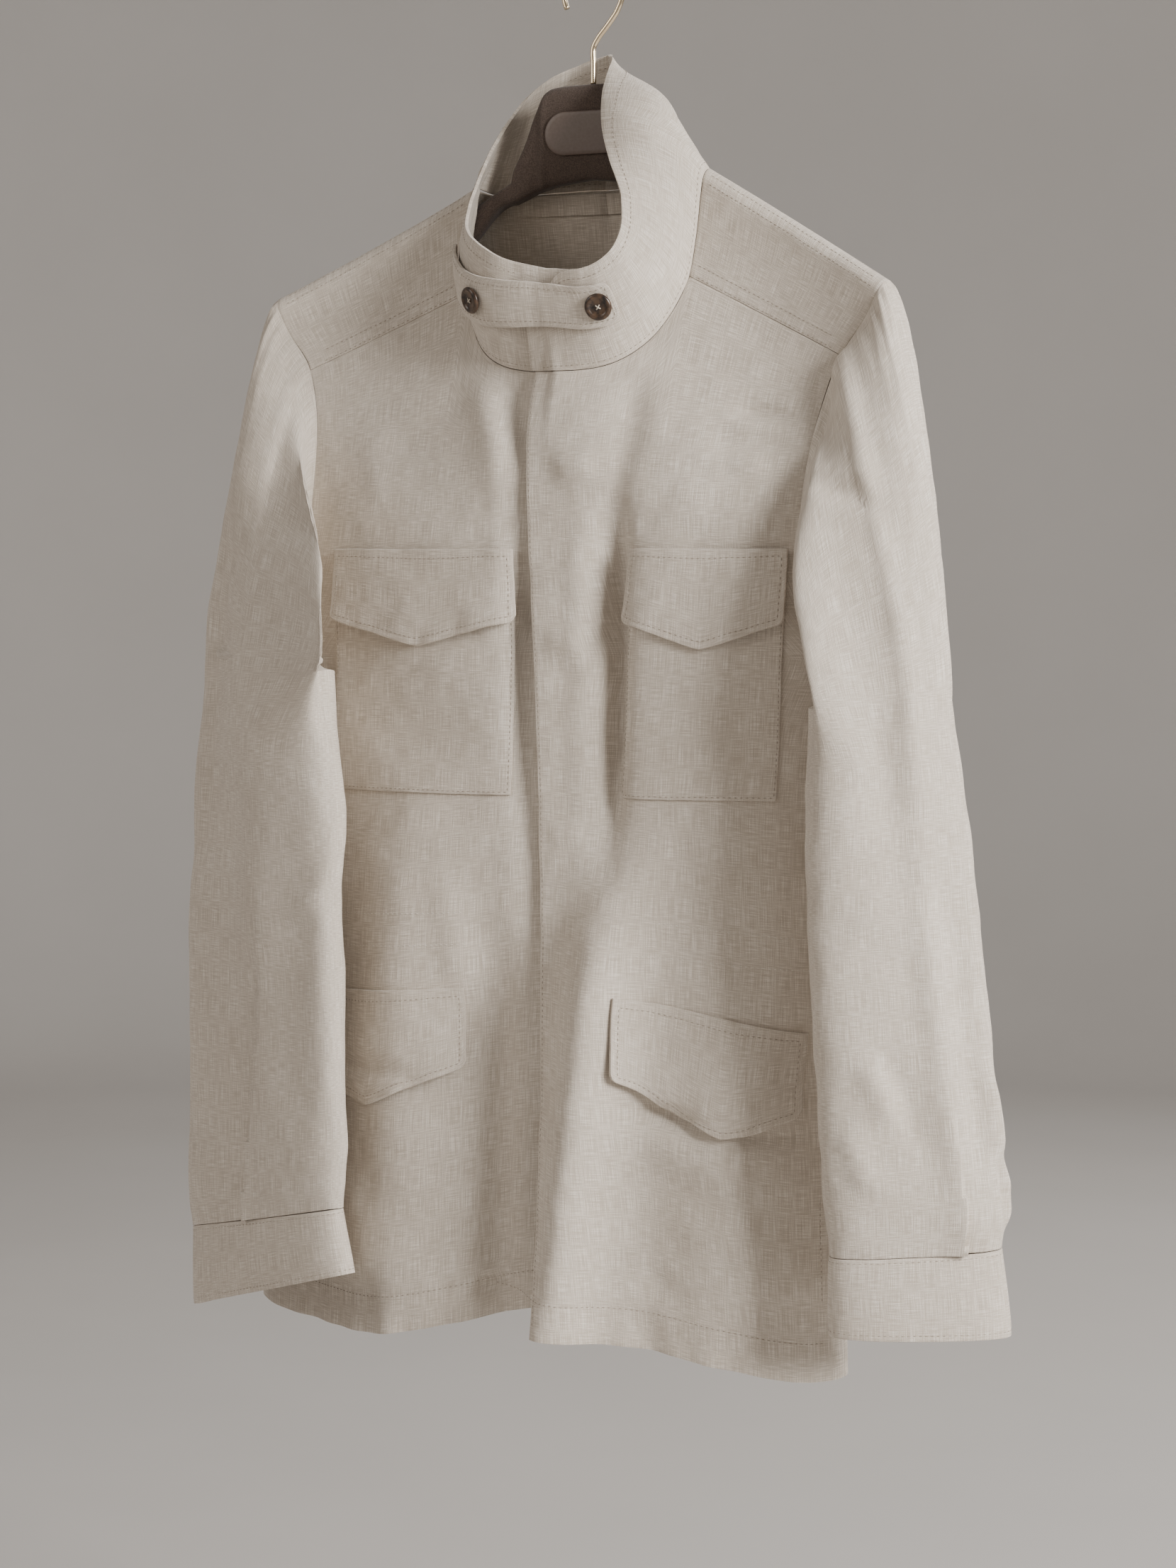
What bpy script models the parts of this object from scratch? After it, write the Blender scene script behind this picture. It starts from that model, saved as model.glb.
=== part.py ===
"""Linen field jacket on a padded hanger, one closed solid for each cut piece.

Metres, +Z up. The origin is the inside top of the hook, where a rail carries it.
The front of the jacket faces -Y. Left and right are the wearer's: left is +X.
"""
import math

import bmesh
import bpy
from mathutils import Matrix, Vector

# Cloth and clearances
CLOTH = 0.0013            # wall of the linen, one layer
GAP = 0.0003              # clearance at a seam
SEAM_HALF = 0.00035       # half of the opening where two walls meet edge to edge
LAYER = CLOTH + GAP       # step from one cloth layer to the next one out
UNDERLAP = 0.0040         # how far the right front sits behind the left one

# Heights below the hook and the main widths
HEM = -0.934              # lowest point of the hem
UNDERARM = -0.460
NECK_HALF = 0.086
NECK_DROP = 0.131         # shoulder neck point to the bottom of the front neck
BACK_NECK_DROP = 0.006
TIP_X = 0.222             # half of the shoulder width
YOKE_NECK_X = 0.081       # where the yoke seam meets the neck
YOKE_END_Z = -0.267       # where the yoke seam meets the armhole
SHOULDER_RADIUS = 0.012   # cloth bent over the hanger arm
ARM_FORWARD = 0.033       # how far the hanger arms curve forward
ARM_STRAIGHT = 0.040      # half of the straight middle of the hanger
NECK_CLEAR = 0.0016       # clearance of the collar foot in the neck opening
NECK_MIDDLE_Z = -0.1425   # height of the neck seam's level at the middle
NECK_LEVEL_X = 0.030      # from here the level goes over to the side's own neck point
NECK_LEVEL_SPREAD = 0.050
NECK_POWER = 3.0          # squareness of the neck line
NECK_AXIS_Z = -0.135      # the collar foot leans towards this height
BACK_FOOT_RISE = 0.020
FRONT_SHARED_X = -0.050   # up to here the collar foot lies on the left front's surface
SECTION_POWER = 2.2       # squareness of the body sections
FIXED_TOP = -0.318        # first level row under the neck and the yoke seam
MIDDLE_DROP = 0.240       # below the shoulder, where the sections reach their own middle
FRONT_DROP = 0.220        # and their full depth to the front
BACK_DROP = 0.120         # and to the back
CAP_FADE_TOP = -0.260     # the bend over the hanger arm fades out below this height
CAP_FADE = 0.180
UNDERLAP_START = 0.026    # distance from the centre front where the right front sinks back
UNDERLAP_SPREAD = 0.022
ARMHOLE_CLEAR = 3.0 * GAP
SMOOTH_ANGLE = 50.0
TINY = 1e-6

# Shoulder heights at the neck and at the tip, for each side
SHOULDER = {"left": {"neck": -0.140, "tip": -0.220}, "right": {"neck": -0.145, "tip": -0.217}}
SIGN = {"left": 1.0, "right": -1.0}

# Body sections: height, right side x, left side x, middle y, depth to the front and to the back
BODY = {
    "height": (-0.09, -0.25, -0.39, -0.46, -0.50, -0.55, -0.67, -0.80, -0.93),
    "side_right": (-0.245, -0.245, -0.240, -0.234, -0.232, -0.232, -0.236, -0.242, -0.246),
    "side_left": (0.245, 0.243, 0.226, 0.211, 0.193, 0.186, 0.185, 0.187, 0.191),
    "middle": (-0.004, -0.016, -0.018, -0.018, -0.018, -0.018, -0.018, -0.018, -0.018),
    "front": (0.020, 0.038, 0.050, 0.052, 0.053, 0.054, 0.056, 0.058, 0.060),
    "back": (0.014, 0.022, 0.034, 0.038, 0.040, 0.042, 0.046, 0.050, 0.052),
}

# Armhole: share of the way from the tip to the underarm, and how far it cuts into each panel
ARMHOLE = {
    "share": (0.0, 0.10, 0.20, 0.35, 0.55, 0.75, 0.90, 1.0),
    "front": (0.0, 0.012, 0.028, 0.038, 0.043, 0.040, 0.023, 0.0),
    "back": (0.0, 0.004, 0.009, 0.014, 0.017, 0.015, 0.008, 0.0),
}

# Centre front edge of the left front, which lies on top
EDGE = {"height": (-0.93, -0.83, -0.73, -0.55, -0.44, -0.34, -0.20),
        "x": (0.010, 0.008, 0.004, -0.001, -0.006, -0.013, -0.020)}

# Hem height along each panel
HEM_LINE = {
    "left": {"x": (-0.03, 0.034, 0.090, 0.140, 0.170, 0.195),
             "z": (-0.901, -0.907, -0.914, -0.923, -0.930, -0.933)},
    "right": {"x": (-0.246, -0.174, -0.115, -0.058, 0.0, 0.030),
              "z": (-0.915, -0.918, -0.917, -0.906, -0.891, -0.888)},
    "back": {"x": (-0.246, -0.10, 0.05, 0.192),
             "z": (-0.915, -0.922, -0.927, -0.933)},
}

# Slant of the left front under the chest
GRAIN_START = -0.400
GRAIN_SLANT = 0.070
GRAIN_LIMIT = 0.025
GRAIN_EDGE = 0.012
GRAIN_SPREAD = 0.070

# Large folds: panel, x at top and bottom, heights at top and bottom, half spread, height outwards
FOLDS = (
    ("left", 0.062, 0.014, -0.560, -0.960, 0.027, 0.034),
    ("front", 0.046, 0.034, -0.330, -0.640, 0.021, -0.012),
    ("left", 0.150, 0.140, -0.640, -0.960, 0.040, 0.012),
    ("right", -0.100, -0.112, -0.500, -0.960, 0.045, 0.018),
    ("right", -0.034, -0.030, -0.600, -0.960, 0.020, -0.010),
    ("back", -0.090, -0.105, -0.380, -0.960, 0.036, 0.013),
    ("back", 0.080, 0.096, -0.420, -0.960, 0.032, 0.012),
    ("back", 0.000, -0.010, -0.480, -0.960, 0.028, -0.008),
)
FOLD_FADE = 0.35

# Columns of the front panels, from the centre front to the last one before the side
COLUMNS = {"right": (0.026, 0.008, -0.010, -0.022, -0.038, -0.053, -0.067, YOKE_NECK_X * -1.0,
                     -0.096, -0.112, -0.128, -0.144, -0.160),
           "left": (0.014, 0.030, 0.046, 0.062, 0.072, YOKE_NECK_X, 0.094, 0.108, 0.122, 0.137,
                    0.152, 0.166)}
SIDE_SHARES = (0.30, 0.55, 0.76, 0.91, 0.98, 1.0)
BACK_COLUMNS = (0.0, 0.022, 0.044, 0.066, NECK_HALF, 0.110, 0.135, 0.160)
FRONT_ROWS = (FIXED_TOP, -0.352, -0.390, -0.412, -0.437, UNDERARM, -0.490, -0.520, -0.552, -0.585,
              -0.618, -0.650, -0.684, -0.710, -0.737, -0.765, -0.800, -0.838, -0.872, HEM)
BACK_ROWS = (FIXED_TOP, -0.352, -0.390, -0.412, -0.437, UNDERARM, -0.490, -0.552, -0.618, -0.684,
             -0.737, -0.800, -0.860, HEM)
YOKE_STEPS = (0.0, 0.1, 0.25, 0.45, 0.65, 0.85, 1.0)
YOKE_COLUMNS = (0.0, 0.10, 0.21, 0.33, 0.45, 0.57, 0.69, 0.80, 0.88, 0.94, 0.98, 1.0)

# Patch pockets and flaps: inner and outer edge, top edge and its fall outwards, depth and place of the tip
CHEST = {"right": {"inner": -0.022, "outer": -0.160}, "left": {"inner": 0.062, "outer": 0.166}}
CHEST_TOP = -0.390
CHEST_POCKET_TOP = -0.412
CHEST_POCKET_BOTTOM = -0.552
CHEST_FLAP_HEIGHT = 0.047
CHEST_POINT = 0.018
CHEST_TIP = 0.50
LOWER = {"right": {"inner": -0.053, "top": -0.680, "fall": 0.010, "tip": 0.50},
         "left": {"inner": YOKE_NECK_X, "top": -0.679, "fall": 0.024, "tip": 0.62}}
LOWER_WRAP = (0.012, 0.022, 0.029)   # columns past the last level one, round the side
LOWER_FLAP_HEIGHT = 0.053
LOWER_POINT = 0.025
FLAP_ROWS = 5

# Sleeve rings under the armhole: outer edge x, y, z, inner edge x, y, z, half thickness
SLEEVES = {
    "left": (
        (0.2665, -0.040, -0.4850, 0.1970, -0.100, -0.4900, 0.026),
        (0.2800, -0.041, -0.5630, 0.1960, -0.105, -0.5680, 0.024),
        (0.2890, -0.042, -0.6370, 0.1970, -0.104, -0.6370, 0.023),
        (0.2975, -0.043, -0.7120, 0.2015, -0.103, -0.7120, 0.022),
        (0.3060, -0.044, -0.7820, 0.2050, -0.101, -0.7820, 0.022),
        (0.3080, -0.045, -0.8070, 0.2075, -0.099, -0.8110, 0.021),
        (0.3060, -0.046, -0.8300, 0.2090, -0.097, -0.8350, 0.019),
    ),
    "right": (
        (-0.2550, -0.059, -0.4850, -0.1370, -0.132, -0.4700, 0.025),
        (-0.2650, -0.066, -0.5630, -0.1250, -0.133, -0.5660, 0.022),
        (-0.2670, -0.071, -0.6370, -0.1260, -0.136, -0.6370, 0.020),
        (-0.2670, -0.074, -0.7120, -0.1230, -0.137, -0.7080, 0.019),
        (-0.2710, -0.076, -0.7900, -0.1205, -0.138, -0.7780, 0.019),
        (-0.2720, -0.077, -0.8300, -0.1220, -0.138, -0.8080, 0.018),
        (-0.2680, -0.078, -0.8600, -0.1230, -0.137, -0.8260, 0.017),
    ),
}
# Cuff rings, same columns
CUFFS = {
    "left": (
        (0.3062, -0.046, -0.8306, 0.2088, -0.097, -0.8356, 0.0190),
        (0.3090, -0.046, -0.8480, 0.2080, -0.097, -0.8520, 0.0200),
        (0.3115, -0.046, -0.8680, 0.2085, -0.097, -0.8700, 0.0205),
        (0.3130, -0.046, -0.8860, 0.2090, -0.097, -0.8860, 0.0200),
    ),
    "right": (
        (-0.2682, -0.078, -0.8606, -0.1228, -0.137, -0.8266, 0.0170),
        (-0.2685, -0.078, -0.8790, -0.1200, -0.137, -0.8420, 0.0180),
        (-0.2685, -0.078, -0.8980, -0.1170, -0.137, -0.8560, 0.0185),
        (-0.2680, -0.078, -0.9160, -0.1140, -0.137, -0.8690, 0.0180),
    ),
}
RING_POWER = 2.5

# Sleeve head: how it leaves the armhole (HEAD) and how it reaches the first hanging ring (HANG)
HEAD_OUT = 0.078
HEAD_OUT_TOP = 0.012
HEAD_OUT_FRONT = 0.030
HEAD_FORWARD = 0.100
HEAD_FORWARD_LOW = 0.060
HEAD_BACKWARD = 0.020
HEAD_DOWN = 0.045
HEAD_DOWN_TOP = 0.035
HEAD_SWEEP_SHARE = 0.35
HANG_OUT = 0.010
HANG_FORWARD = 0.010
HANG_DOWN = 0.140
HANG_DOWN_TOP = 0.110
UNDERARM_SWEEP = {"left": 0.12, "right": 0.34}   # how wide the sleeve swings round the underarm
SWEEP_TOP = 0.30          # the swing starts a little above the middle of the armhole
FRONT_REACH = {"left": 0.018, "right": 0.052}   # how far the front of the head folds in over the chest
REACH_FORWARD = 0.5       # and this share of it forwards
REACH_LEVEL = 2.6         # brings the fold's largest value to about one
REACH_RISE = 0.50         # share of the head over which the fold grows from the armhole
REACH_FALL = 0.25         # and over which it dies out again at the first ring
HEAD_STEPS = (0.0, 0.10, 0.22, 0.36, 0.50, 0.64, 0.78, 0.90)   # rings of the sleeve head

# Top edge of the collar on each side: share from front to back, x, y, z, outward bulge of the wall
COLLAR = {
    "left": (
        (0.00, 0.000, -0.079, -0.208, 0.000),
        (0.12, 0.028, -0.080, -0.209, 0.003),
        (0.25, 0.047, -0.077, -0.199, 0.005),
        (0.36, 0.052, -0.068, -0.181, 0.006),
        (0.47, 0.046, -0.057, -0.160, 0.008),
        (0.57, 0.032, -0.045, -0.136, 0.011),
        (0.66, 0.021, -0.033, -0.112, 0.018),
        (0.76, 0.016, -0.021, -0.090, 0.029),
        (0.86, 0.012, -0.002, -0.071, 0.030),
        (0.94, 0.004, 0.022, -0.059, 0.014),
        (1.00, -0.003, 0.033, -0.055, 0.002),
    ),
    "right": (
        (0.00, 0.000, -0.079, -0.208, 0.000),
        (0.12, -0.030, -0.080, -0.200, 0.003),
        (0.25, -0.054, -0.072, -0.187, 0.005),
        (0.36, -0.072, -0.048, -0.171, 0.005),
        (0.47, -0.077, -0.024, -0.147, 0.004),
        (0.57, -0.074, -0.003, -0.116, 0.003),
        (0.66, -0.066, 0.012, -0.094, 0.002),
        (0.76, -0.055, 0.022, -0.078, 0.002),
        (0.86, -0.038, 0.029, -0.066, 0.002),
        (0.94, -0.020, 0.032, -0.059, 0.002),
        (1.00, -0.003, 0.033, -0.055, 0.002),
    ),
}
COLLAR_STEPS = (0.0, 0.18, 0.36, 0.54, 0.72, 0.87, 1.0)
COLLAR_END_CUT = 0.45     # how much of the wall the rounded front corner takes away
COLLAR_CORNER = (0.028, -0.020)
COLLAR_OVER_SHARES = (0.030, 0.062)   # columns of the left end past the centre front
COLLAR_UNDER_SHARES = (0.10, 0.03)    # columns of the right end behind the left one
COLLAR_CORNER_SHARE = 0.30
COLLAR_OVER_X = 0.26      # distance along the neck for a share of 1

# Throat tab on the collar: end positions along the neck, heights as shares of the wall
TAB_RIGHT_SHARE = 0.400
TAB_LEFT_SHARE = 0.200
TAB_ROWS = 4
TAB_END_STEP = 0.010
TAB_OUT = LAYER + 0.0022
TAB_LOW = {"left": 0.39, "middle": 0.44, "right": 0.25}
TAB_HEIGHT_SHARE = 0.42
BUTTON_RADIUS = 0.0090
BUTTON_THICK = 0.0034
BUTTON_STAND = 0.0008
BUTTON_LEFT_SHARE = 0.155
BUTTON_RIGHT_SHARE = 0.205
BUTTON_STEPS = 20
BUTTON_RIM = 1.3          # height of the rim over that of the middle
# Button section: share of the radius, height over that of the middle
BUTTON_PROFILE = ((0.0, 1.0), (0.62, 1.0), (0.72, BUTTON_RIM), (0.90, BUTTON_RIM), (1.0, 0.7),
                  (0.86, 0.0), (0.0, 0.0))

# Hanger and hook
HANGER_HALF = 0.0085
HANGER_ARM_HALF = 0.0070
HANGER_BLOCK = {"x": (0.0, 0.026, 0.034, 0.041, 0.048, 0.058),
                "top": (-0.0800, -0.0810, -0.0850, -0.0980, -0.1165, -0.1365),
                "bottom": (-0.1430, -0.1460, -0.1480, -0.1500, -0.1530, -0.1570)}
HANGER_REACH = 0.212
HANGER_SPOTS = (0.0, 0.016, 0.026, 0.031, 0.034, 0.041, 0.048, 0.058, 0.075, 0.090, 0.110, 0.135, 0.160,
                0.185, 0.204, HANGER_REACH)
HANGER_AROUND = 14
HANGER_BLEND = 0.035      # length over which the block goes over to the arm
HANGER_BLOCK_POWER = 5.0
HANGER_ARM_POWER = 2.4
HANGER_END_SHARE = 0.55
HANGER_CLEAR = 0.0040
HANGER_NECK_CLEAR = 0.0120
HANGER_ARM_HEIGHT = 0.026
PLATE_LENGTH = 0.063
PLATE_HEIGHT = 0.029
PLATE_THICK = 0.0014
PLATE_Z = -0.1125
PLATE_CORNERS = 10
WIRE_RADIUS = 0.0019
HOOK_INNER = 0.0195
HOOK_STEPS = 16
HOOK_START = -28.0        # turn of the bend in degrees, from the stem to the open end
HOOK_END = 205.0
# Hook stem above the block: x, z
HOOK_STEM = ((0.0, -0.0660), (0.0, -0.0560), (0.0035, -0.0495), (0.0100, -0.0420), (0.0165, -0.0340))
TAPE_HALF = 0.060
TAPE_TOP = -0.150
TAPE_BOTTOM = -0.164
TAPE_COLUMNS = 9
TAPE_ROWS = 3


def smooth_step(value):
    """Ease from 0 to 1 as value goes from 0 to 1."""
    value = min(max(value, 0.0), 1.0)
    return value * value * (3.0 - 2.0 * value)


def blend(a, b, share):
    return a + (b - a) * share


def curve_value(at, knots, values):
    """Smooth curve through a short table, with level ends."""
    if knots[0] > knots[-1]:
        knots = knots[::-1]
        values = values[::-1]
    if at <= knots[0]:
        return values[0]
    if at >= knots[-1]:
        return values[-1]
    i = 0
    while at > knots[i + 1]:
        i += 1
    slopes = []
    for k in (i, i + 1):
        low = max(k - 1, 0)
        high = min(k + 1, len(knots) - 1)
        slopes.append((values[high] - values[low]) / (knots[high] - knots[low]))
    step = knots[i + 1] - knots[i]
    t = (at - knots[i]) / step
    return ((1 + 2 * t) * (1 - t) ** 2 * values[i] + t * (1 - t) ** 2 * step * slopes[0]
            + t * t * (3 - 2 * t) * values[i + 1] + t * t * (t - 1) * step * slopes[1])


def body_value(column, z):
    return curve_value(z, BODY["height"], BODY[column])


def shoulder_z(x):
    """Height of the shoulder line over x, carried on towards the middle."""
    side = SHOULDER["left" if x >= 0.0 else "right"]
    slope = (side["tip"] - side["neck"]) / (TIP_X - NECK_HALF)
    return side["neck"] + slope * (abs(x) - NECK_HALF)


def arm_y(x):
    """Forward curve of the hanger arms and of the shoulder line over them."""
    return -ARM_FORWARD * (max(abs(x) - ARM_STRAIGHT, 0.0) / (TIP_X - ARM_STRAIGHT)) ** 2


def fold_height(panel, x, z):
    """Sum of the large folds of one panel, outwards."""
    total = 0.0
    for name, x_top, x_bottom, z_top, z_bottom, spread, height in FOLDS:
        if name != panel and not (name == "front" and panel in SIGN):
            continue
        share = (z_top - z) / (z_top - z_bottom)
        if share <= 0.0 or share >= 1.0:
            continue
        window = smooth_step(share / FOLD_FADE)
        if z_bottom > HEM:
            window *= smooth_step((1.0 - share) / FOLD_FADE)
        middle = blend(x_top, x_bottom, share)
        total += height * window * math.exp(-((x - middle) / spread) ** 2)
    return total


def edge_x(z):
    return curve_value(z, EDGE["height"], EDGE["x"])


def underlap(x, z):
    """How far the right front sinks back towards and behind the centre front edge."""
    return UNDERLAP * smooth_step((x - edge_x(z) + UNDERLAP_START) / UNDERLAP_SPREAD)


def body_y(panel, x, z):
    """Depth of the outer cloth surface at x and z, for the panels left, right and back."""
    drop = max(shoulder_z(x) - z, 0.0)
    low = body_value("side_right", z)
    high = body_value("side_left", z)
    centre = (low + high) / 2.0
    share = min(abs(x - centre) / ((high - low) / 2.0), 1.0)
    side = (1.0 - share ** SECTION_POWER) ** (1.0 / SECTION_POWER)
    cap = SHOULDER_RADIUS * math.sqrt(1.0 - (1.0 - min(drop / SHOULDER_RADIUS, 1.0)) ** 2)
    cap *= blend(1.0, side, smooth_step((CAP_FADE_TOP - z) / CAP_FADE))
    middle = blend(arm_y(x), body_value("middle", z), smooth_step(drop / MIDDLE_DROP))
    if panel == "back":
        grown = body_value("back", z) * smooth_step(drop / BACK_DROP)
        return middle + SEAM_HALF + cap + (grown + fold_height(panel, x, z)) * side
    grown = body_value("front", z) * smooth_step(drop / FRONT_DROP)
    y = middle - SEAM_HALF - cap - (grown + fold_height(panel, x, z)) * side
    if panel == "right":
        y += underlap(x, z)
    return y


def body_point(panel, x, z, out=0.0):
    """Point on a panel, moved out along the surface normal."""
    step = 0.0015
    y = body_y(panel, x, z)
    if out == 0.0:
        return Vector((x, y, z))
    slope_x = (body_y(panel, x + step, z) - body_y(panel, x - step, z)) / (2 * step)
    slope_z = (body_y(panel, x, z + step) - body_y(panel, x, z - step)) / (2 * step)
    normal = Vector((slope_x, -1.0, slope_z)).normalized()
    if panel == "back":
        normal.negate()
    return Vector((x, y, z)) + normal * out


def armhole_x(side, panel, z):
    """X of the armhole edge, on the front or the back panel."""
    tip = SHOULDER[side]["tip"]
    share = (tip - z) / (tip - UNDERARM)
    straight = blend(TIP_X, abs(body_value("side_" + side, UNDERARM)), share)
    return SIGN[side] * (straight - curve_value(share, ARMHOLE["share"], ARMHOLE[panel]))


def side_x(side, panel, z):
    """Outer edge of a panel: the armhole, and the side seam under it."""
    if z > UNDERARM:
        return armhole_x(side, panel, z)
    return body_value("side_" + side, z)


def neck_z(x):
    """Front neck seam over x."""
    share = min(abs(x) / NECK_HALF, 1.0)
    neck = SHOULDER["left" if x >= 0.0 else "right"]["neck"]
    level = blend(NECK_MIDDLE_Z, neck, smooth_step((abs(x) - NECK_LEVEL_X) / NECK_LEVEL_SPREAD))
    return level - NECK_DROP * (1.0 - share ** NECK_POWER) ** (1.0 / NECK_POWER)


def back_neck_z(x):
    share = min(abs(x) / NECK_HALF, 1.0)
    neck = SHOULDER["left" if x >= 0.0 else "right"]["neck"]
    level = blend(NECK_MIDDLE_Z, neck, smooth_step(share))
    return level - BACK_NECK_DROP * (1.0 - share ** NECK_POWER) ** (1.0 / NECK_POWER)


def yoke_seam_z(side, x):
    """Yoke seam on the front, a straight line from the neck to the armhole."""
    start = neck_z(SIGN[side] * YOKE_NECK_X)
    end_x = abs(armhole_x(side, "front", YOKE_END_Z))
    return blend(start, YOKE_END_Z, (abs(x) - YOKE_NECK_X) / (end_x - YOKE_NECK_X))


def front_top_z(side, x):
    if abs(x) < YOKE_NECK_X:
        return neck_z(x)
    return yoke_seam_z(side, x)


def hem_z(panel, x):
    return curve_value(x, HEM_LINE[panel]["x"], HEM_LINE[panel]["z"])


def grain_x(side, x, z):
    """X of a front column at a height; the left front hangs slightly askew below the chest."""
    if side == "right":
        return x
    drift = max(GRAIN_SLANT * (z - GRAIN_START), -GRAIN_LIMIT) if z < GRAIN_START else 0.0
    return x + drift * min(max((x - GRAIN_EDGE) / GRAIN_SPREAD, 0.0), 1.0)


def front_spot(side, column, row):
    """X and z of a grid point of a front panel."""
    fixed = COLUMNS[side]
    row_z = FRONT_ROWS[max(row - 2, 0)]
    lift = max(2 - row, 0) / 2.0
    if column < len(fixed) + (side == "left"):
        if side == "left":
            x = edge_x(row_z) if column == 0 else grain_x(side, fixed[column - 1], row_z)
        else:
            x = fixed[column]
    else:
        share = SIDE_SHARES[column - len(fixed) - (side == "left")]
        end_z = blend(row_z, YOKE_END_Z, lift)
        x = blend(grain_x(side, fixed[-1], row_z), side_x(side, "front", end_z), share)
    if row_z == HEM:
        return x, hem_z(side, x)
    return x, blend(row_z, front_top_z(side, x) - GAP, lift)


def front_column_count(side):
    return len(COLUMNS[side]) + len(SIDE_SHARES) + (side == "left")


def back_spot(column, row):
    """X and z of a grid point of the back panel."""
    inner = len(BACK_COLUMNS)
    half = inner - 1 + len(SIDE_SHARES)
    index = abs(column - half)
    side = "left" if column >= half else "right"
    yoke_rows = len(YOKE_STEPS)
    if row < yoke_rows:
        end_z = blend(SHOULDER[side]["tip"], YOKE_END_Z, YOKE_STEPS[row] ** 2)
    elif row == yoke_rows:
        end_z = blend(YOKE_END_Z, FIXED_TOP, 0.5)
    else:
        end_z = BACK_ROWS[row - yoke_rows - 1]
    end_x = side_x(side, "back", end_z)
    if index < inner:
        x = SIGN[side] * BACK_COLUMNS[index]
    else:
        x = blend(SIGN[side] * BACK_COLUMNS[-1], end_x, SIDE_SHARES[index - inner])
    if end_z == HEM:
        return x, hem_z("back", x)
    if row > yoke_rows:
        return x, end_z
    top = shoulder_z(x) if abs(x) > NECK_HALF else back_neck_z(x)
    drop = (SHOULDER[side]["tip"] - end_z) / (SHOULDER[side]["tip"] - FIXED_TOP)
    return x, blend(top, FIXED_TOP, drop)


def yoke_spot(side, column, row):
    """X and z of a grid point of a front shoulder yoke."""
    step = YOKE_STEPS[row] ** 2
    share = YOKE_COLUMNS[column]
    end_z = blend(SHOULDER[side]["tip"], YOKE_END_Z, step)
    start_x = SIGN[side] * blend(NECK_HALF, YOKE_NECK_X, step)
    x = blend(start_x, armhole_x(side, "front", end_z), share)
    top = shoulder_z(x)
    return x, blend(top, yoke_seam_z(side, x), step)


def armhole_loop(side):
    """Armhole points from the tip, down the front, through the underarm and up the back."""
    heights = [blend(SHOULDER[side]["tip"], YOKE_END_Z, step ** 2) for step in YOKE_STEPS]
    heights.append(blend(YOKE_END_Z, FIXED_TOP, 0.5))
    heights += [z for z in FRONT_ROWS if z >= UNDERARM]
    front = [body_point(side, armhole_x(side, "front", z), z) for z in heights]
    back = [body_point("back", armhole_x(side, "back", z), z) for z in heights]
    front[0].y = back[0].y = (front[0].y + back[0].y) / 2
    front[-1].y = back[-1].y = (front[-1].y + back[-1].y) / 2
    loop = front + back[-2:0:-1]
    return [point + Vector((SIGN[side] * ARMHOLE_CLEAR, 0.0, 0.0)) for point in loop]


def ring_point(ring, turn):
    """Point on a flattened ring; turn 0 is the outer edge, a quarter turn is the front."""
    outer = Vector(ring[0:3])
    inner = Vector(ring[3:6])
    half = (outer - inner) / 2.0
    front = Vector((half.y, -half.x, 0.0)).normalized()
    if front.y > 0.0:
        front.negate()
    across = math.cos(turn)
    through = math.sin(turn)
    size = (abs(across) ** RING_POWER + abs(through) ** RING_POWER) ** (-1.0 / RING_POWER)
    return (outer + inner) / 2.0 + half * across * size + front * ring[6] * through * size


def sleeve_head(side, start, end, turn, share):
    """Sleeve head: leaves the armhole outwards and comes down onto the first hanging ring."""
    up = math.cos(turn)
    front = math.sin(turn)
    low = max(SWEEP_TOP - up, 0.0) / (SWEEP_TOP + 1.0)
    sweep = UNDERARM_SWEEP[side] * low * (1.0 - max(front, 0.0)) ** 2
    reach = FRONT_REACH[side] * REACH_LEVEL * max(front, 0.0) ** 2 * max(-up, 0.0)
    leave = Vector((SIGN[side] * (HEAD_OUT - HEAD_OUT_TOP * up - HEAD_OUT_FRONT * max(front, 0.0)
                                  + HEAD_SWEEP_SHARE * sweep),
                    -(HEAD_FORWARD + HEAD_FORWARD_LOW * max(-up, 0.0)) * max(front, 0.0)
                    + HEAD_BACKWARD * max(-front, 0.0),
                    -HEAD_DOWN - HEAD_DOWN_TOP * up))
    arrive = Vector((SIGN[side] * (HANG_OUT - sweep), -HANG_FORWARD,
                     -HANG_DOWN - HANG_DOWN_TOP * up))
    t = share
    window = smooth_step(t / REACH_RISE) * smooth_step((1.0 - t) / REACH_FALL)
    fold = Vector((-SIGN[side] * reach, -REACH_FORWARD * reach, 0.0)) * window
    return (start * (1 + 2 * t) * (1 - t) ** 2 + leave * t * (1 - t) ** 2
            + end * t * t * (3 - 2 * t) + arrive * t * t * (t - 1) + fold)


def sleeve_point(side, ring_index, loop, k):
    """Point k of a sleeve ring; the first ring is the armhole itself."""
    turn = 2.0 * math.pi * k / len(loop)
    hanging = ring_index - len(HEAD_STEPS)
    if hanging >= 0:
        return ring_point(SLEEVES[side][hanging], turn)
    end = ring_point(SLEEVES[side][0], turn)
    return sleeve_head(side, loop[k], end, turn, HEAD_STEPS[ring_index])


def collar_top(side, share):
    rows = COLLAR[side]
    shares = [row[0] for row in rows]
    place = [curve_value(share, shares, [row[i] for row in rows]) for i in (1, 2, 3, 4)]
    return Vector(place[0:3]), place[3]


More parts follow.
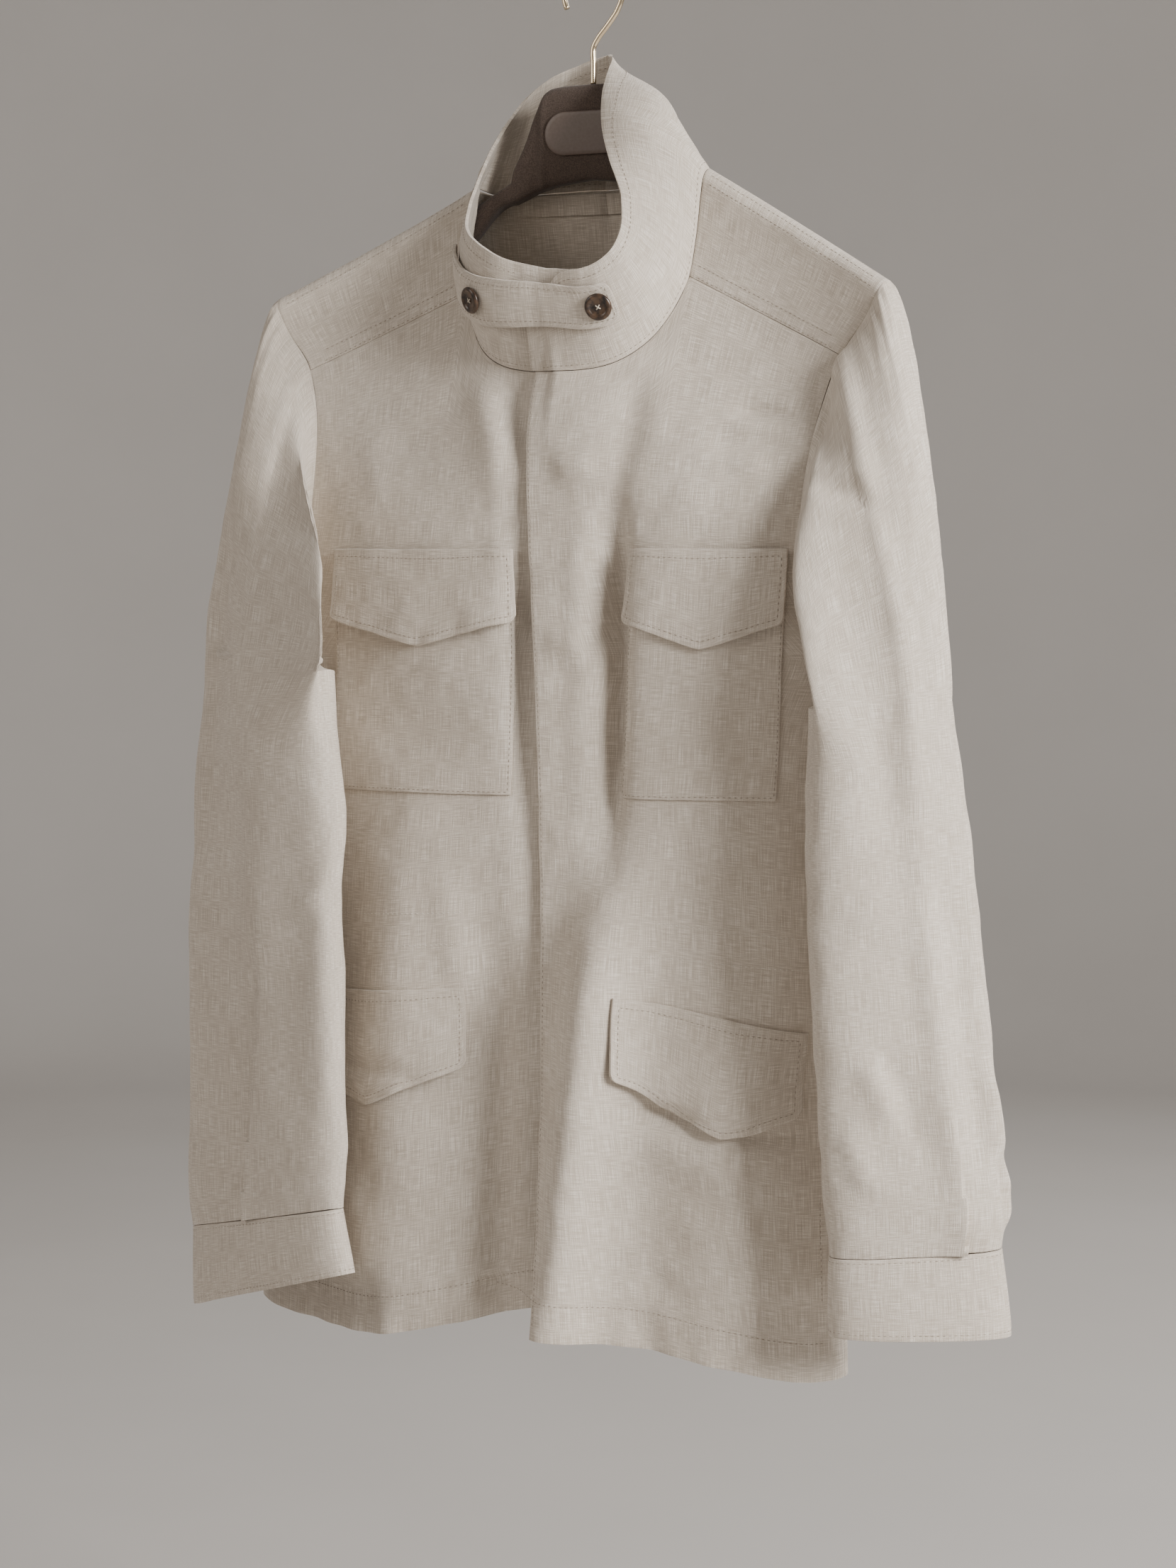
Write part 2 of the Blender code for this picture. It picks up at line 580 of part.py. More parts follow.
def neck_seam(side):
    """Neck seam points of one side from the centre front to the centre back, with the panel of each."""
    sign = SIGN[side]
    points = []
    for x in COLUMNS[side]:
        if 0.0 < sign * x < YOKE_NECK_X:
            points.append((side, x, neck_z(x)))
    for row in range(len(YOKE_STEPS) - 1, -1, -1):
        x, z = yoke_spot(side, 0, row)
        points.append((side, x, z))
    for x in sorted(BACK_COLUMNS, reverse=True):
        if 0.0 < x < NECK_HALF:
            points.append(("back", sign * x, back_neck_z(x * sign)))
    return points


def seam_place(panel, x, z):
    """Foot of the collar wall, moved into the neck opening by the seam clearance."""
    point = body_point(panel, x, z)
    rise = NECK_AXIS_Z - z if panel != "back" else abs(x) + BACK_FOOT_RISE
    return point + Vector((-x, 0.0, rise)).normalized() * NECK_CLEAR


def front_foot(x):
    """Foot of the collar near the centre front, on the surface that both fronts share."""
    return seam_place("left" if x > FRONT_SHARED_X else "right", x, neck_z(x))


def seam_shares(side):
    """Share of the way round the neck, from front to back, of each neck seam point."""
    places = [seam_place(*spot) for spot in neck_seam(side)]
    centre = front_foot(0.0)
    back = seam_place("back", 0.0, back_neck_z(0.0))
    lengths = [0.0]
    for a, b in zip([centre] + places, places + [back]):
        lengths.append(lengths[-1] + (b - a).length)
    return places, [length / lengths[-1] for length in lengths[1:-1]]


def collar_feet(side):
    """Neck seam points of one side with their shares, both centres included."""
    places, shares = seam_shares(side)
    back = seam_place("back", 0.0, back_neck_z(0.0))
    return [front_foot(0.0)] + places + [back], [0.0] + shares + [1.0]


def collar_spot(feet, side, share, rise):
    """Point on the collar wall: rise 0 is the neck seam and 1 the top edge."""
    places, shares = feet[side]
    foot = Vector([curve_value(share, shares, [place[i] for place in places]) for i in range(3)])
    top, bulge = collar_top(side, share)
    chord = top - foot
    step = 0.02
    ahead, _ = collar_top(side, min(share + step, 1.0))
    before, _ = collar_top(side, max(share - step, 0.0))
    normal = (ahead - before).cross(chord).normalized() * SIGN[side]
    return foot + chord * rise + normal * bulge * 4.0 * rise * (1.0 - rise)


def collar_out(feet, side, share, rise, out):
    """Point of the collar wall moved out along the surface normal."""
    step = 0.01
    point = collar_spot(feet, side, share, rise)
    along = (collar_spot(feet, side, min(share + step, 1.0), rise)
             - collar_spot(feet, side, max(share - step, 0.0), rise))
    upward = collar_spot(feet, side, share, rise + step) - collar_spot(feet, side, share, rise - step)
    return point + along.cross(upward).normalized() * SIGN[side] * out


def collar_stations():
    """Collar columns from its right front end, round the back, to its left front end."""
    stations = []
    right_places, right_shares = seam_shares("right")
    left_places, left_shares = seam_shares("left")
    for share in COLLAR_UNDER_SHARES:
        stations.append(("left", share, UNDERLAP, 1.0))
    for foot, share in zip(right_places, right_shares):
        stations.append(("right", share, underlap(foot.x, foot.z), 1.0))
    stations.append(("left", 1.0, 0.0, 1.0))
    for foot, share in zip(left_places[::-1], left_shares[::-1]):
        cut = corner_rise(foot.x) if share < COLLAR_CORNER_SHARE else 1.0
        stations.append(("left", share, 0.0, cut))
    stations.append(("left", 0.0, 0.0, corner_rise(0.0)))
    for share in COLLAR_OVER_SHARES:
        stations.append(("right", share, 0.0, corner_rise(-share * COLLAR_OVER_X)))
    return stations


def corner_rise(x):
    """Height left over of the collar wall at its rounded left front corner."""
    start, end = COLLAR_CORNER
    return 1.0 - COLLAR_END_CUT * smooth_step((start - x) / (start - end)) ** 1.5


def new_object(name, mesh, material, collection):
    item = bpy.data.objects.new(name, mesh)
    mesh.materials.append(material)
    mesh.shade_smooth()
    mesh.set_sharp_from_angle(angle=math.radians(SMOOTH_ANGLE))
    collection.objects.link(item)
    return item


def grid_mesh(name, columns, rows, place, closed=False):
    """Grid of columns by rows points, each put in place by its column and row number."""
    shape = bmesh.new()
    around = columns + 1 if closed else columns
    bmesh.ops.create_grid(shape, x_segments=around - 1, y_segments=rows - 1, size=0.5)
    for vertex in shape.verts:
        column = round((vertex.co.x + 0.5) * (around - 1))
        row = round((vertex.co.y + 0.5) * (rows - 1))
        vertex.co = place(column % columns if closed else column, row)
    if closed:
        bmesh.ops.remove_doubles(shape, verts=shape.verts, dist=TINY)
    bmesh.ops.recalc_face_normals(shape, faces=shape.faces)
    mesh = bpy.data.meshes.new(name)
    shape.to_mesh(mesh)
    shape.free()
    return mesh


def cloth_piece(name, columns, rows, place, material, collection, outward, closed=False):
    """Cloth wall on a grid whose points are its outer face; outward tells which way that is."""
    mesh = grid_mesh(name, columns, rows, place, closed)
    middle = mesh.polygons[len(mesh.polygons) // 2]
    if middle.normal.dot(outward(Vector(middle.center))) < 0.0:
        mesh.flip_normals()
    item = new_object(name, mesh, material, collection)
    wall = item.modifiers.new("Wall", "SOLIDIFY")
    wall.thickness = CLOTH
    wall.offset = -1.0
    return item


def to_front(_point):
    return Vector((0.0, -1.0, 0.0))


def to_back(_point):
    return Vector((0.0, 1.0, 0.0))


def plain_material(name, colour, roughness, metallic=0.0):
    material = bpy.data.materials.new(name)
    material.use_nodes = True
    shader = material.node_tree.nodes["Principled BSDF"]
    shader.inputs["Base Color"].default_value = (*colour, 1.0)
    shader.inputs["Roughness"].default_value = roughness
    shader.inputs["Metallic"].default_value = metallic
    return material


def make_body(linen, collection):
    """Fronts, shoulder yokes and back."""
    for side in ("left", "right"):
        cloth_piece("front_" + side, front_column_count(side), len(FRONT_ROWS) + 2,
                    lambda c, r: body_point(side, *front_spot(side, c, r)), linen, collection, to_front)
        cloth_piece("yoke_" + side, len(YOKE_COLUMNS), len(YOKE_STEPS),
                    lambda c, r: body_point(side, *yoke_spot(side, c, r)), linen, collection, to_front)
    columns = 2 * (len(BACK_COLUMNS) + len(SIDE_SHARES)) - 1
    cloth_piece("back", columns, len(YOKE_STEPS) + 1 + len(BACK_ROWS),
                lambda c, r: body_point("back", *back_spot(c, r)), linen, collection, to_back)


def make_sleeves(linen, collection):
    """Sleeves from the armholes to the cuffs, and the cuffs."""
    for side in ("left", "right"):
        loop = armhole_loop(side)
        rings = len(HEAD_STEPS) + len(SLEEVES[side])
        cloth_piece("sleeve_" + side, len(loop), rings,
                    lambda k, r: sleeve_point(side, r, loop, k), linen, collection,
                    lambda p: p - ring_middle(SLEEVES[side], p), closed=True)
        cloth_piece("cuff_" + side, len(loop), len(CUFFS[side]),
                    lambda k, r: ring_point(CUFFS[side][r], 2.0 * math.pi * k / len(loop)),
                    linen, collection, lambda p: p - ring_middle(CUFFS[side], p), closed=True)


def ring_middle(rings, point):
    """Middle of the ring nearest in height to a point."""
    def middle(ring):
        return (Vector(ring[0:3]) + Vector(ring[3:6])) / 2.0
    return min((middle(ring) for ring in rings), key=lambda m: abs(m.z - point.z))


def make_pockets(linen, collection):
    """Chest patch pockets, chest flaps and lower flaps, each on the points of its front panel."""
    for side in ("left", "right"):
        chest = [x for x in COLUMNS[side] if between(x, CHEST[side]["inner"], CHEST[side]["outer"])]
        rows = [z for z in FRONT_ROWS if CHEST_POCKET_BOTTOM <= z <= CHEST_POCKET_TOP]
        cloth_piece("chest_pocket_" + side, len(chest), len(rows),
                    lambda c, r: body_point(side, grain_x(side, chest[c], rows[r]), rows[r], LAYER),
                    linen, collection, to_front)
        shape = {"top": CHEST_TOP, "fall": 0.0,
                 "height": CHEST_FLAP_HEIGHT, "point": CHEST_POINT, "tip": CHEST_TIP}
        cloth_piece("chest_flap_" + side, len(chest), FLAP_ROWS,
                    lambda c, r: flap_point(side, chest[c], (chest[0], chest[-1]), r, shape, 2 * LAYER),
                    linen, collection, to_front)
        lower = [x for x in COLUMNS[side] if SIGN[side] * x >= SIGN[side] * LOWER[side]["inner"] - TINY]
        lower += [SIGN[side] * (abs(lower[-1]) + step) for step in LOWER_WRAP]
        shape = {"top": LOWER[side]["top"], "fall": LOWER[side]["fall"], "tip": LOWER[side]["tip"],
                 "height": LOWER_FLAP_HEIGHT, "point": LOWER_POINT}
        cloth_piece("lower_flap_" + side, len(lower), FLAP_ROWS,
                    lambda c, r: flap_point(side, lower[c], (lower[0], lower[-1]), r, shape, LAYER + GAP),
                    linen, collection, to_front)


def between(x, inner, outer):
    return min(inner, outer) - TINY <= x <= max(inner, outer) + TINY


def flap_point(side, x, ends, row, shape, out):
    """Point of a flap whose lower edge comes to a point at the tip's share of its width."""
    share = (x - ends[0]) / (ends[1] - ends[0])
    tip = shape["tip"]
    top = shape["top"] - shape["fall"] * share
    depth = shape["height"] + shape["point"] * min(share / tip, (1.0 - share) / (1.0 - tip))
    z = top - depth * row / (FLAP_ROWS - 1)
    return body_point(side, grain_x(side, x, z), z, out)


def make_collar(linen, horn, collection):
    """Stand collar, throat tab and its two buttons."""
    stations = collar_stations()
    feet = {side: collar_feet(side) for side in SIGN}

    def wall(column, row):
        side, share, behind, cut = stations[column]
        return collar_spot(feet, side, share, COLLAR_STEPS[row] * cut) + Vector((0.0, behind, 0.0))

    cloth_piece("collar", len(stations), len(COLLAR_STEPS), wall, linen, collection, to_back)
    places = tab_places(feet)
    cloth_piece("throat_tab", len(places), TAB_ROWS,
                lambda c, r: tab_point(feet, places[c], r / (TAB_ROWS - 1)), linen, collection, to_front)
    make_button("button_left", feet, BUTTON_LEFT_SHARE, horn, collection)
    make_button("button_right", feet, -BUTTON_RIGHT_SHARE, horn, collection)


def tab_places(feet):
    """Signed shares of the tab's columns, which are the collar's own columns and the two ends."""
    places = {TAB_LEFT_SHARE, -TAB_RIGHT_SHARE, 0.0}
    places.update(-share for share in COLLAR_OVER_SHARES)
    for side, end in (("left", TAB_LEFT_SHARE), ("right", TAB_RIGHT_SHARE)):
        places.update(SIGN[side] * share for share in feet[side][1] if share < end - TAB_END_STEP)
    return sorted(places, reverse=True)


def tab_point(feet, place, height, out=TAB_OUT):
    """Point of the throat tab; place is the signed share and height goes from 0 to 1."""
    side = "left" if place >= 0.0 else "right"
    toward = abs(place) / (TAB_LEFT_SHARE if side == "left" else TAB_RIGHT_SHARE)
    low = blend(TAB_LOW["middle"], TAB_LOW[side], smooth_step(toward))
    return collar_out(feet, side, abs(place), low + TAB_HEIGHT_SHARE * height, out)


def make_button(name, feet, place, material, collection):
    """Turned button with a rolled rim, flat against the tab."""
    centre = tab_point(feet, place, 0.5, TAB_OUT + BUTTON_STAND)
    step = 0.02
    across = tab_point(feet, place + step, 0.5) - tab_point(feet, place - step, 0.5)
    upward = tab_point(feet, place, 0.7) - tab_point(feet, place, 0.3)
    normal = across.cross(upward).normalized()
    if normal.y > 0.0:
        normal.negate()
    shape = bmesh.new()
    high = BUTTON_THICK / BUTTON_RIM
    corners = [shape.verts.new((r * BUTTON_RADIUS, 0.0, h * high)) for r, h in BUTTON_PROFILE]
    for a, b in zip(corners[:-1], corners[1:]):
        shape.edges.new((a, b))
    mesh = bpy.data.meshes.new(name)
    shape.to_mesh(mesh)
    shape.free()
    item = new_object(name, mesh, material, collection)
    turn = item.modifiers.new("Turn", "SCREW")
    turn.steps = turn.render_steps = BUTTON_STEPS
    turn.use_merge_vertices = True
    turn.merge_threshold = 0.00005
    frame = Matrix((across.normalized(), normal.cross(across.normalized()), normal)).transposed()
    item.matrix_world = Matrix.Translation(centre) @ frame.to_4x4()


def make_tape(linen, collection):
    """Neck tape inside the back, from the back panel's points moved in."""
    cloth_piece("neck_tape", TAPE_COLUMNS, TAPE_ROWS,
                lambda c, r: body_point("back", blend(-TAPE_HALF, TAPE_HALF, c / (TAPE_COLUMNS - 1)),
                                        blend(TAPE_TOP, TAPE_BOTTOM, r / (TAPE_ROWS - 1)), -LAYER),
                linen, collection, to_back)


def hanger_heights(x):
    """Top and bottom of the hanger at x: the middle block, then the arm under the shoulder."""
    reach = HANGER_BLOCK["x"][-1]
    if abs(x) <= reach:
        return (curve_value(abs(x), HANGER_BLOCK["x"], HANGER_BLOCK["top"]),
                curve_value(abs(x), HANGER_BLOCK["x"], HANGER_BLOCK["bottom"]))
    start_top = HANGER_BLOCK["top"][-1]
    start_bottom = HANGER_BLOCK["bottom"][-1]
    rising = smooth_step((abs(x) - NECK_HALF) / HANGER_BLEND)
    top = shoulder_z(x) - blend(HANGER_NECK_CLEAR, HANGER_CLEAR, rising)
    share = smooth_step((abs(x) - reach) / HANGER_BLEND)
    return blend(min(start_top, top), top, share), blend(start_bottom, top - HANGER_ARM_HEIGHT, share)


def make_hanger(flock, plastic, metal, collection):
    """Hanger body, blank plate and hook."""
    spots = sorted({sign * x for sign in (-1.0, 1.0) for x in HANGER_SPOTS})
    around = HANGER_AROUND

    def hanger_point(k, i):
        x = spots[i]
        top, bottom = hanger_heights(x)
        turn = 2.0 * math.pi * k / around
        arm = smooth_step((abs(x) - HANGER_BLOCK["x"][-2]) / HANGER_BLEND)
        power = blend(HANGER_BLOCK_POWER, HANGER_ARM_POWER, arm)
        size = (abs(math.cos(turn)) ** power + abs(math.sin(turn)) ** power) ** (-1.0 / power)
        ends = HANGER_END_SHARE if abs(x) == HANGER_REACH else 1.0
        half = blend(HANGER_HALF, HANGER_ARM_HALF, arm) * ends
        middle = (top + bottom) / 2.0
        return Vector((x, arm_y(x) - half * math.cos(turn) * size,
                       middle + (top - bottom) / 2.0 * ends * math.sin(turn) * size))

    mesh = grid_mesh("hanger_body", around, len(spots), hanger_point, closed=True)
    shape = bmesh.new()
    shape.from_mesh(mesh)
    bmesh.ops.holes_fill(shape, edges=shape.edges)
    bmesh.ops.recalc_face_normals(shape, faces=shape.faces)
    shape.to_mesh(mesh)
    shape.free()
    new_object("hanger_body", mesh, flock, collection)

    outline = bpy.data.curves.new("hanger_plate", "CURVE")
    outline.dimensions = "2D"
    outline.fill_mode = "BOTH"
    outline.extrude = PLATE_THICK / 2
    spline = outline.splines.new("POLY")
    spline.use_cyclic_u = True
    corners = PLATE_CORNERS
    radius = PLATE_HEIGHT / 2
    spline.points.add(2 * corners + 1)
    for k in range(2 * corners + 2):
        end = 1.0 if k <= corners else -1.0
        angle = math.pi * (k if k <= corners else k - 1) / corners - math.pi / 2
        x = end * (PLATE_LENGTH / 2 - radius) + radius * math.cos(angle)
        spline.points[k].co = (x, radius * math.sin(angle), 0.0, 1.0)
    plate = bpy.data.objects.new("hanger_plate", outline)
    plate.rotation_euler = (math.pi / 2, 0.0, 0.0)
    plate.location = (0.0, -HANGER_HALF - GAP - PLATE_THICK / 2, PLATE_Z)
    outline.materials.append(plastic)
    collection.objects.link(plate)

    wire = bpy.data.curves.new("hanger_hook", "CURVE")
    wire.dimensions = "3D"
    wire.bevel_depth = WIRE_RADIUS
    wire.bevel_resolution = 2
    wire.use_fill_caps = True
    bend = HOOK_INNER + WIRE_RADIUS
    foot = HANGER_BLOCK["top"][0] + GAP
    route = [(0.0, foot)] + list(HOOK_STEM)
    for k in range(HOOK_STEPS + 1):
        angle = math.radians(blend(HOOK_START, HOOK_END, k / HOOK_STEPS))
        route.append((bend * math.cos(angle), bend * math.sin(angle) - HOOK_INNER))
    line = wire.splines.new("POLY")
    line.points.add(len(route) - 1)
    for spot, (x, z) in zip(line.points, route):
        spot.co = (x, 0.0, z, 1.0)
    wire.materials.append(metal)
    collection.objects.link(bpy.data.objects.new("hanger_hook", wire))


def main():
    for item in list(bpy.data.objects):
        bpy.data.objects.remove(item, do_unlink=True)
    collection = bpy.data.collections.new("linen_jacket")
    bpy.context.scene.collection.children.link(collection)
    linen = plain_material("linen", (0.56, 0.50, 0.43), 0.85)
    horn = plain_material("horn", (0.025, 0.019, 0.015), 0.35)
    flock = plain_material("flock", (0.12, 0.085, 0.066), 0.9)
    plastic = plain_material("plate", (0.15, 0.108, 0.085), 0.5)
    metal = plain_material("hook_metal", (0.78, 0.66, 0.48), 0.25, 1.0)
    make_body(linen, collection)
    make_sleeves(linen, collection)
    make_pockets(linen, collection)
    make_collar(linen, horn, collection)
    make_tape(linen, collection)
    make_hanger(flock, plastic, metal, collection)


main()
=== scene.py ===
"""Looks of the linen jacket on its hanger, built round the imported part.

Metres, +Z up, in the part's frame: the origin is the inside top of the hook, the front faces -Y
and left is the wearer's left, +X. The cloth follows the same lines as the part's solids, finer.
"""
import math
from functools import partial

import bpy
import numpy as np
from mathutils import Matrix, Vector


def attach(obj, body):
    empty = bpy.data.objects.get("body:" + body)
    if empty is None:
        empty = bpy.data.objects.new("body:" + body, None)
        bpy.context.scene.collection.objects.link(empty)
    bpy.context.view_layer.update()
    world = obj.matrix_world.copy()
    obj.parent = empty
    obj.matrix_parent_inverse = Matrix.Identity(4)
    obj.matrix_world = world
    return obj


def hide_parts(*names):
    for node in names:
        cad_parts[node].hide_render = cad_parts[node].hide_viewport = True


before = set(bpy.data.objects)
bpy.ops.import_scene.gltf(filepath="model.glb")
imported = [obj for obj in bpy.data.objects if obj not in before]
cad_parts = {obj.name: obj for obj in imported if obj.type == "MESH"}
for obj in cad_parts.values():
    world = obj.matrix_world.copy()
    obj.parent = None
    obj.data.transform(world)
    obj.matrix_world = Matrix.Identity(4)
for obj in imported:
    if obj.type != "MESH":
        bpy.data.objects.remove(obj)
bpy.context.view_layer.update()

# Cloth and clearances
CLOTH = 0.0013
DOUBLE_CLOTH = 0.0021     # two layers sewn flat: flaps, tab, collar and cuffs
GAP = 0.0003
SEAM_HALF = 0.00035
LAYER = CLOTH + GAP
UNDERLAP = 0.0040

# Main lines of the body, as in the part
HEM = -0.934
UNDERARM = -0.460
NECK_HALF = 0.086
NECK_DROP = 0.131
BACK_NECK_DROP = 0.006
TIP_X = 0.222
YOKE_NECK_X = 0.081
YOKE_END_Z = -0.267
SHOULDER_RADIUS = 0.012
ARM_FORWARD = 0.033
ARM_STRAIGHT = 0.040
NECK_CLEAR = 0.0002
NECK_MIDDLE_Z = -0.1425
NECK_LEVEL_X = 0.030
NECK_LEVEL_SPREAD = 0.050
NECK_POWER = 3.0
NECK_AXIS_Z = -0.135
BACK_FOOT_RISE = 0.020
FRONT_SHARED_X = -0.050
SECTION_POWER = 2.2
FIXED_TOP = -0.318
MIDDLE_DROP = 0.240
FRONT_DROP = 0.220
BACK_DROP = 0.120
CAP_FADE_TOP = -0.260
CAP_FADE = 0.180
UNDERLAP_START = 0.026
UNDERLAP_SPREAD = 0.022
RIGHT_EDGE_X = 0.026
SIGN = {"left": 1.0, "right": -1.0}
SHOULDER = {"left": {"neck": -0.140, "tip": -0.220}, "right": {"neck": -0.145, "tip": -0.217}}

# Body sections by height: side x, middle y, depth to the front and to the back
BODY = {
    "height": (-0.09, -0.25, -0.39, -0.46, -0.50, -0.55, -0.67, -0.80, -0.93),
    "side_right": (-0.245, -0.245, -0.240, -0.234, -0.232, -0.232, -0.236, -0.242, -0.246),
    "side_left": (0.245, 0.243, 0.226, 0.211, 0.193, 0.186, 0.185, 0.187, 0.191),
    "middle": (-0.004, -0.016, -0.018, -0.018, -0.018, -0.018, -0.018, -0.018, -0.018),
    "front": (0.020, 0.038, 0.050, 0.052, 0.053, 0.054, 0.056, 0.058, 0.060),
    "back": (0.014, 0.022, 0.034, 0.038, 0.040, 0.042, 0.046, 0.050, 0.052),
}
# Armhole: share of the way from the shoulder tip to the underarm, and the cut into each panel
ARMHOLE = {
    "share": (0.0, 0.10, 0.20, 0.35, 0.55, 0.75, 0.90, 1.0),
    "front": (0.0, 0.012, 0.028, 0.038, 0.043, 0.040, 0.023, 0.0),
    "back": (0.0, 0.004, 0.009, 0.014, 0.017, 0.015, 0.008, 0.0),
}
# Heights of the armhole points that share out the turns of the sleeve
YOKE_STEPS = (0.0, 0.1, 0.25, 0.45, 0.65, 0.85, 1.0)
ARMHOLE_ROWS = (FIXED_TOP, -0.352, -0.390, -0.412, -0.437, UNDERARM)
# Centre front edge of the left front, which lies on top
EDGE = {"height": (-0.93, -0.83, -0.73, -0.55, -0.44, -0.34, -0.20),
        "x": (0.010, 0.008, 0.004, -0.001, -0.006, -0.013, -0.020)}
HEM_LINE = {
    "left": {"x": (-0.03, 0.034, 0.090, 0.140, 0.170, 0.195),
             "z": (-0.901, -0.907, -0.914, -0.923, -0.930, -0.933)},
    "right": {"x": (-0.246, -0.174, -0.115, -0.058, 0.0, 0.030),
              "z": (-0.915, -0.918, -0.917, -0.906, -0.891, -0.888)},
    "back": {"x": (-0.246, -0.10, 0.05, 0.192), "z": (-0.915, -0.922, -0.927, -0.933)},
}
# Slant of the left front under the chest
GRAIN_START = -0.400
GRAIN_SLANT = 0.070
GRAIN_LIMIT = 0.025
GRAIN_EDGE = 0.012
GRAIN_SPREAD = 0.070
# Large folds: panel, x at top and bottom, heights at top and bottom, half spread, height outwards
FOLDS = (
    ("left", 0.062, 0.014, -0.560, -0.960, 0.027, 0.034),
    ("front", 0.046, 0.034, -0.330, -0.640, 0.021, -0.012),
    ("left", 0.150, 0.140, -0.640, -0.960, 0.040, 0.012),
    ("right", -0.100, -0.112, -0.500, -0.960, 0.045, 0.018),
    ("right", -0.034, -0.030, -0.600, -0.960, 0.020, -0.010),
    ("back", -0.090, -0.105, -0.380, -0.960, 0.036, 0.013),
    ("back", 0.080, 0.096, -0.420, -0.960, 0.032, 0.012),
    ("back", 0.000, -0.010, -0.480, -0.960, 0.028, -0.008),
)
FOLD_FADE = 0.35

# Soft creases of the panels: panel, start x and z, end x and z, half spread, height outwards
CREASES = (
    ("right", -0.046, -0.262, -0.004, -0.345, 0.011, -0.0030),
    ("right", -0.064, -0.252, -0.026, -0.370, 0.013, 0.0022),
    ("right", -0.012, -0.360, -0.014, -0.600, 0.014, -0.0045),
    ("right", -0.150, -0.290, -0.120, -0.380, 0.016, 0.0016),
    ("right", -0.054, -0.874, -0.008, -0.863, 0.005, 0.0022),
    ("right", -0.060, -0.882, -0.012, -0.874, 0.006, -0.0018),
    ("right", -0.070, -0.590, -0.048, -0.700, 0.012, 0.0024),
    ("right", -0.160, -0.735, -0.070, -0.742, 0.010, -0.0022),
    ("right", -0.150, -0.800, -0.120, -0.900, 0.018, 0.0030),
    ("left", 0.118, -0.301, 0.172, -0.306, 0.005, -0.0018),
    ("left", 0.112, -0.310, 0.168, -0.315, 0.006, 0.0014),
    ("left", 0.122, -0.335, 0.152, -0.338, 0.006, 0.0014),
    ("left", 0.051, -0.320, 0.048, -0.620, 0.009, -0.0085),
    ("left", 0.027, -0.320, 0.030, -0.640, 0.011, 0.0036),
    ("left", 0.002, -0.338, 0.040, -0.334, 0.009, 0.0018),
    ("left", -0.002, -0.452, 0.034, -0.448, 0.009, 0.0018),
    ("left", 0.000, -0.478, 0.036, -0.472, 0.007, -0.0012),
    ("left", 0.002, -0.580, 0.034, -0.574, 0.009, 0.0016),
    ("left", 0.052, -0.748, 0.130, -0.768, 0.009, -0.0052),
    ("left", 0.120, -0.768, 0.186, -0.772, 0.008, -0.0042),
    ("left", 0.066, -0.770, 0.150, -0.800, 0.016, 0.0036),
    ("left", 0.092, -0.842, 0.150, -0.822, 0.012, 0.0026),
    ("left", 0.070, -0.860, 0.110, -0.880, 0.010, -0.0018),
    ("left", 0.146, -0.690, 0.158, -0.760, 0.010, 0.0020),
    ("left", 0.090, -0.560, 0.120, -0.640, 0.014, -0.0022),
    ("left", 0.060, -0.270, 0.052, -0.360, 0.013, -0.0030),
    ("left", 0.150, -0.280, 0.176, -0.330, 0.010, 0.0014),
    ("back", -0.130, -0.250, -0.060, -0.330, 0.020, 0.0026),
    ("back", 0.130, -0.255, 0.060, -0.340, 0.020, 0.0024),
    ("back", -0.180, -0.400, -0.120, -0.470, 0.016, -0.0028),
    ("back", 0.175, -0.410, 0.115, -0.480, 0.016, -0.0026),
    ("back", -0.140, -0.640, 0.100, -0.652, 0.012, -0.0016),
    ("back", -0.060, -0.700, 0.020, -0.760, 0.016, 0.0026),
    ("back", 0.140, -0.720, 0.110, -0.880, 0.020, 0.0034),
    ("back", -0.170, -0.740, -0.140, -0.890, 0.020, 0.0030),
)
CREASE_FADE = 0.38
CREASE_LEVEL = 1.6        # factor on the heights of all soft creases
CRUMPLE = 0.00110         # height of the fine unevenness of the worn cloth
CRUMPLE_WAVES = ((0.110, 0.55, 7), (0.046, 0.34, 9), (0.019, 0.13, 11))   # length, share and count
CRUMPLE_RANGE = (0.7, 1.4)   # least and greatest factor on a wave's length
CRUMPLE_SEED = {"left": 3, "right": 5, "back": 8}
HEM_WAVE = 0.0016         # waviness of the hem's edge
HEM_WAVES = ((118.0, 0.9, 1.0), (221.0, 0.0, 0.6))   # radians per metre, start and share
HEM_WAVE_REACH = 0.030
SLOPE_STEP = 0.0015       # step that gives the slope of a panel
# Crowding of the points towards the sides of the panels and the tops of the back and the sleeves
FRONT_CROWD = 1.6
BACK_CROWD = 1.4
BACK_TOP_CROWD = 1.5
HEAD_CROWD = 1.3

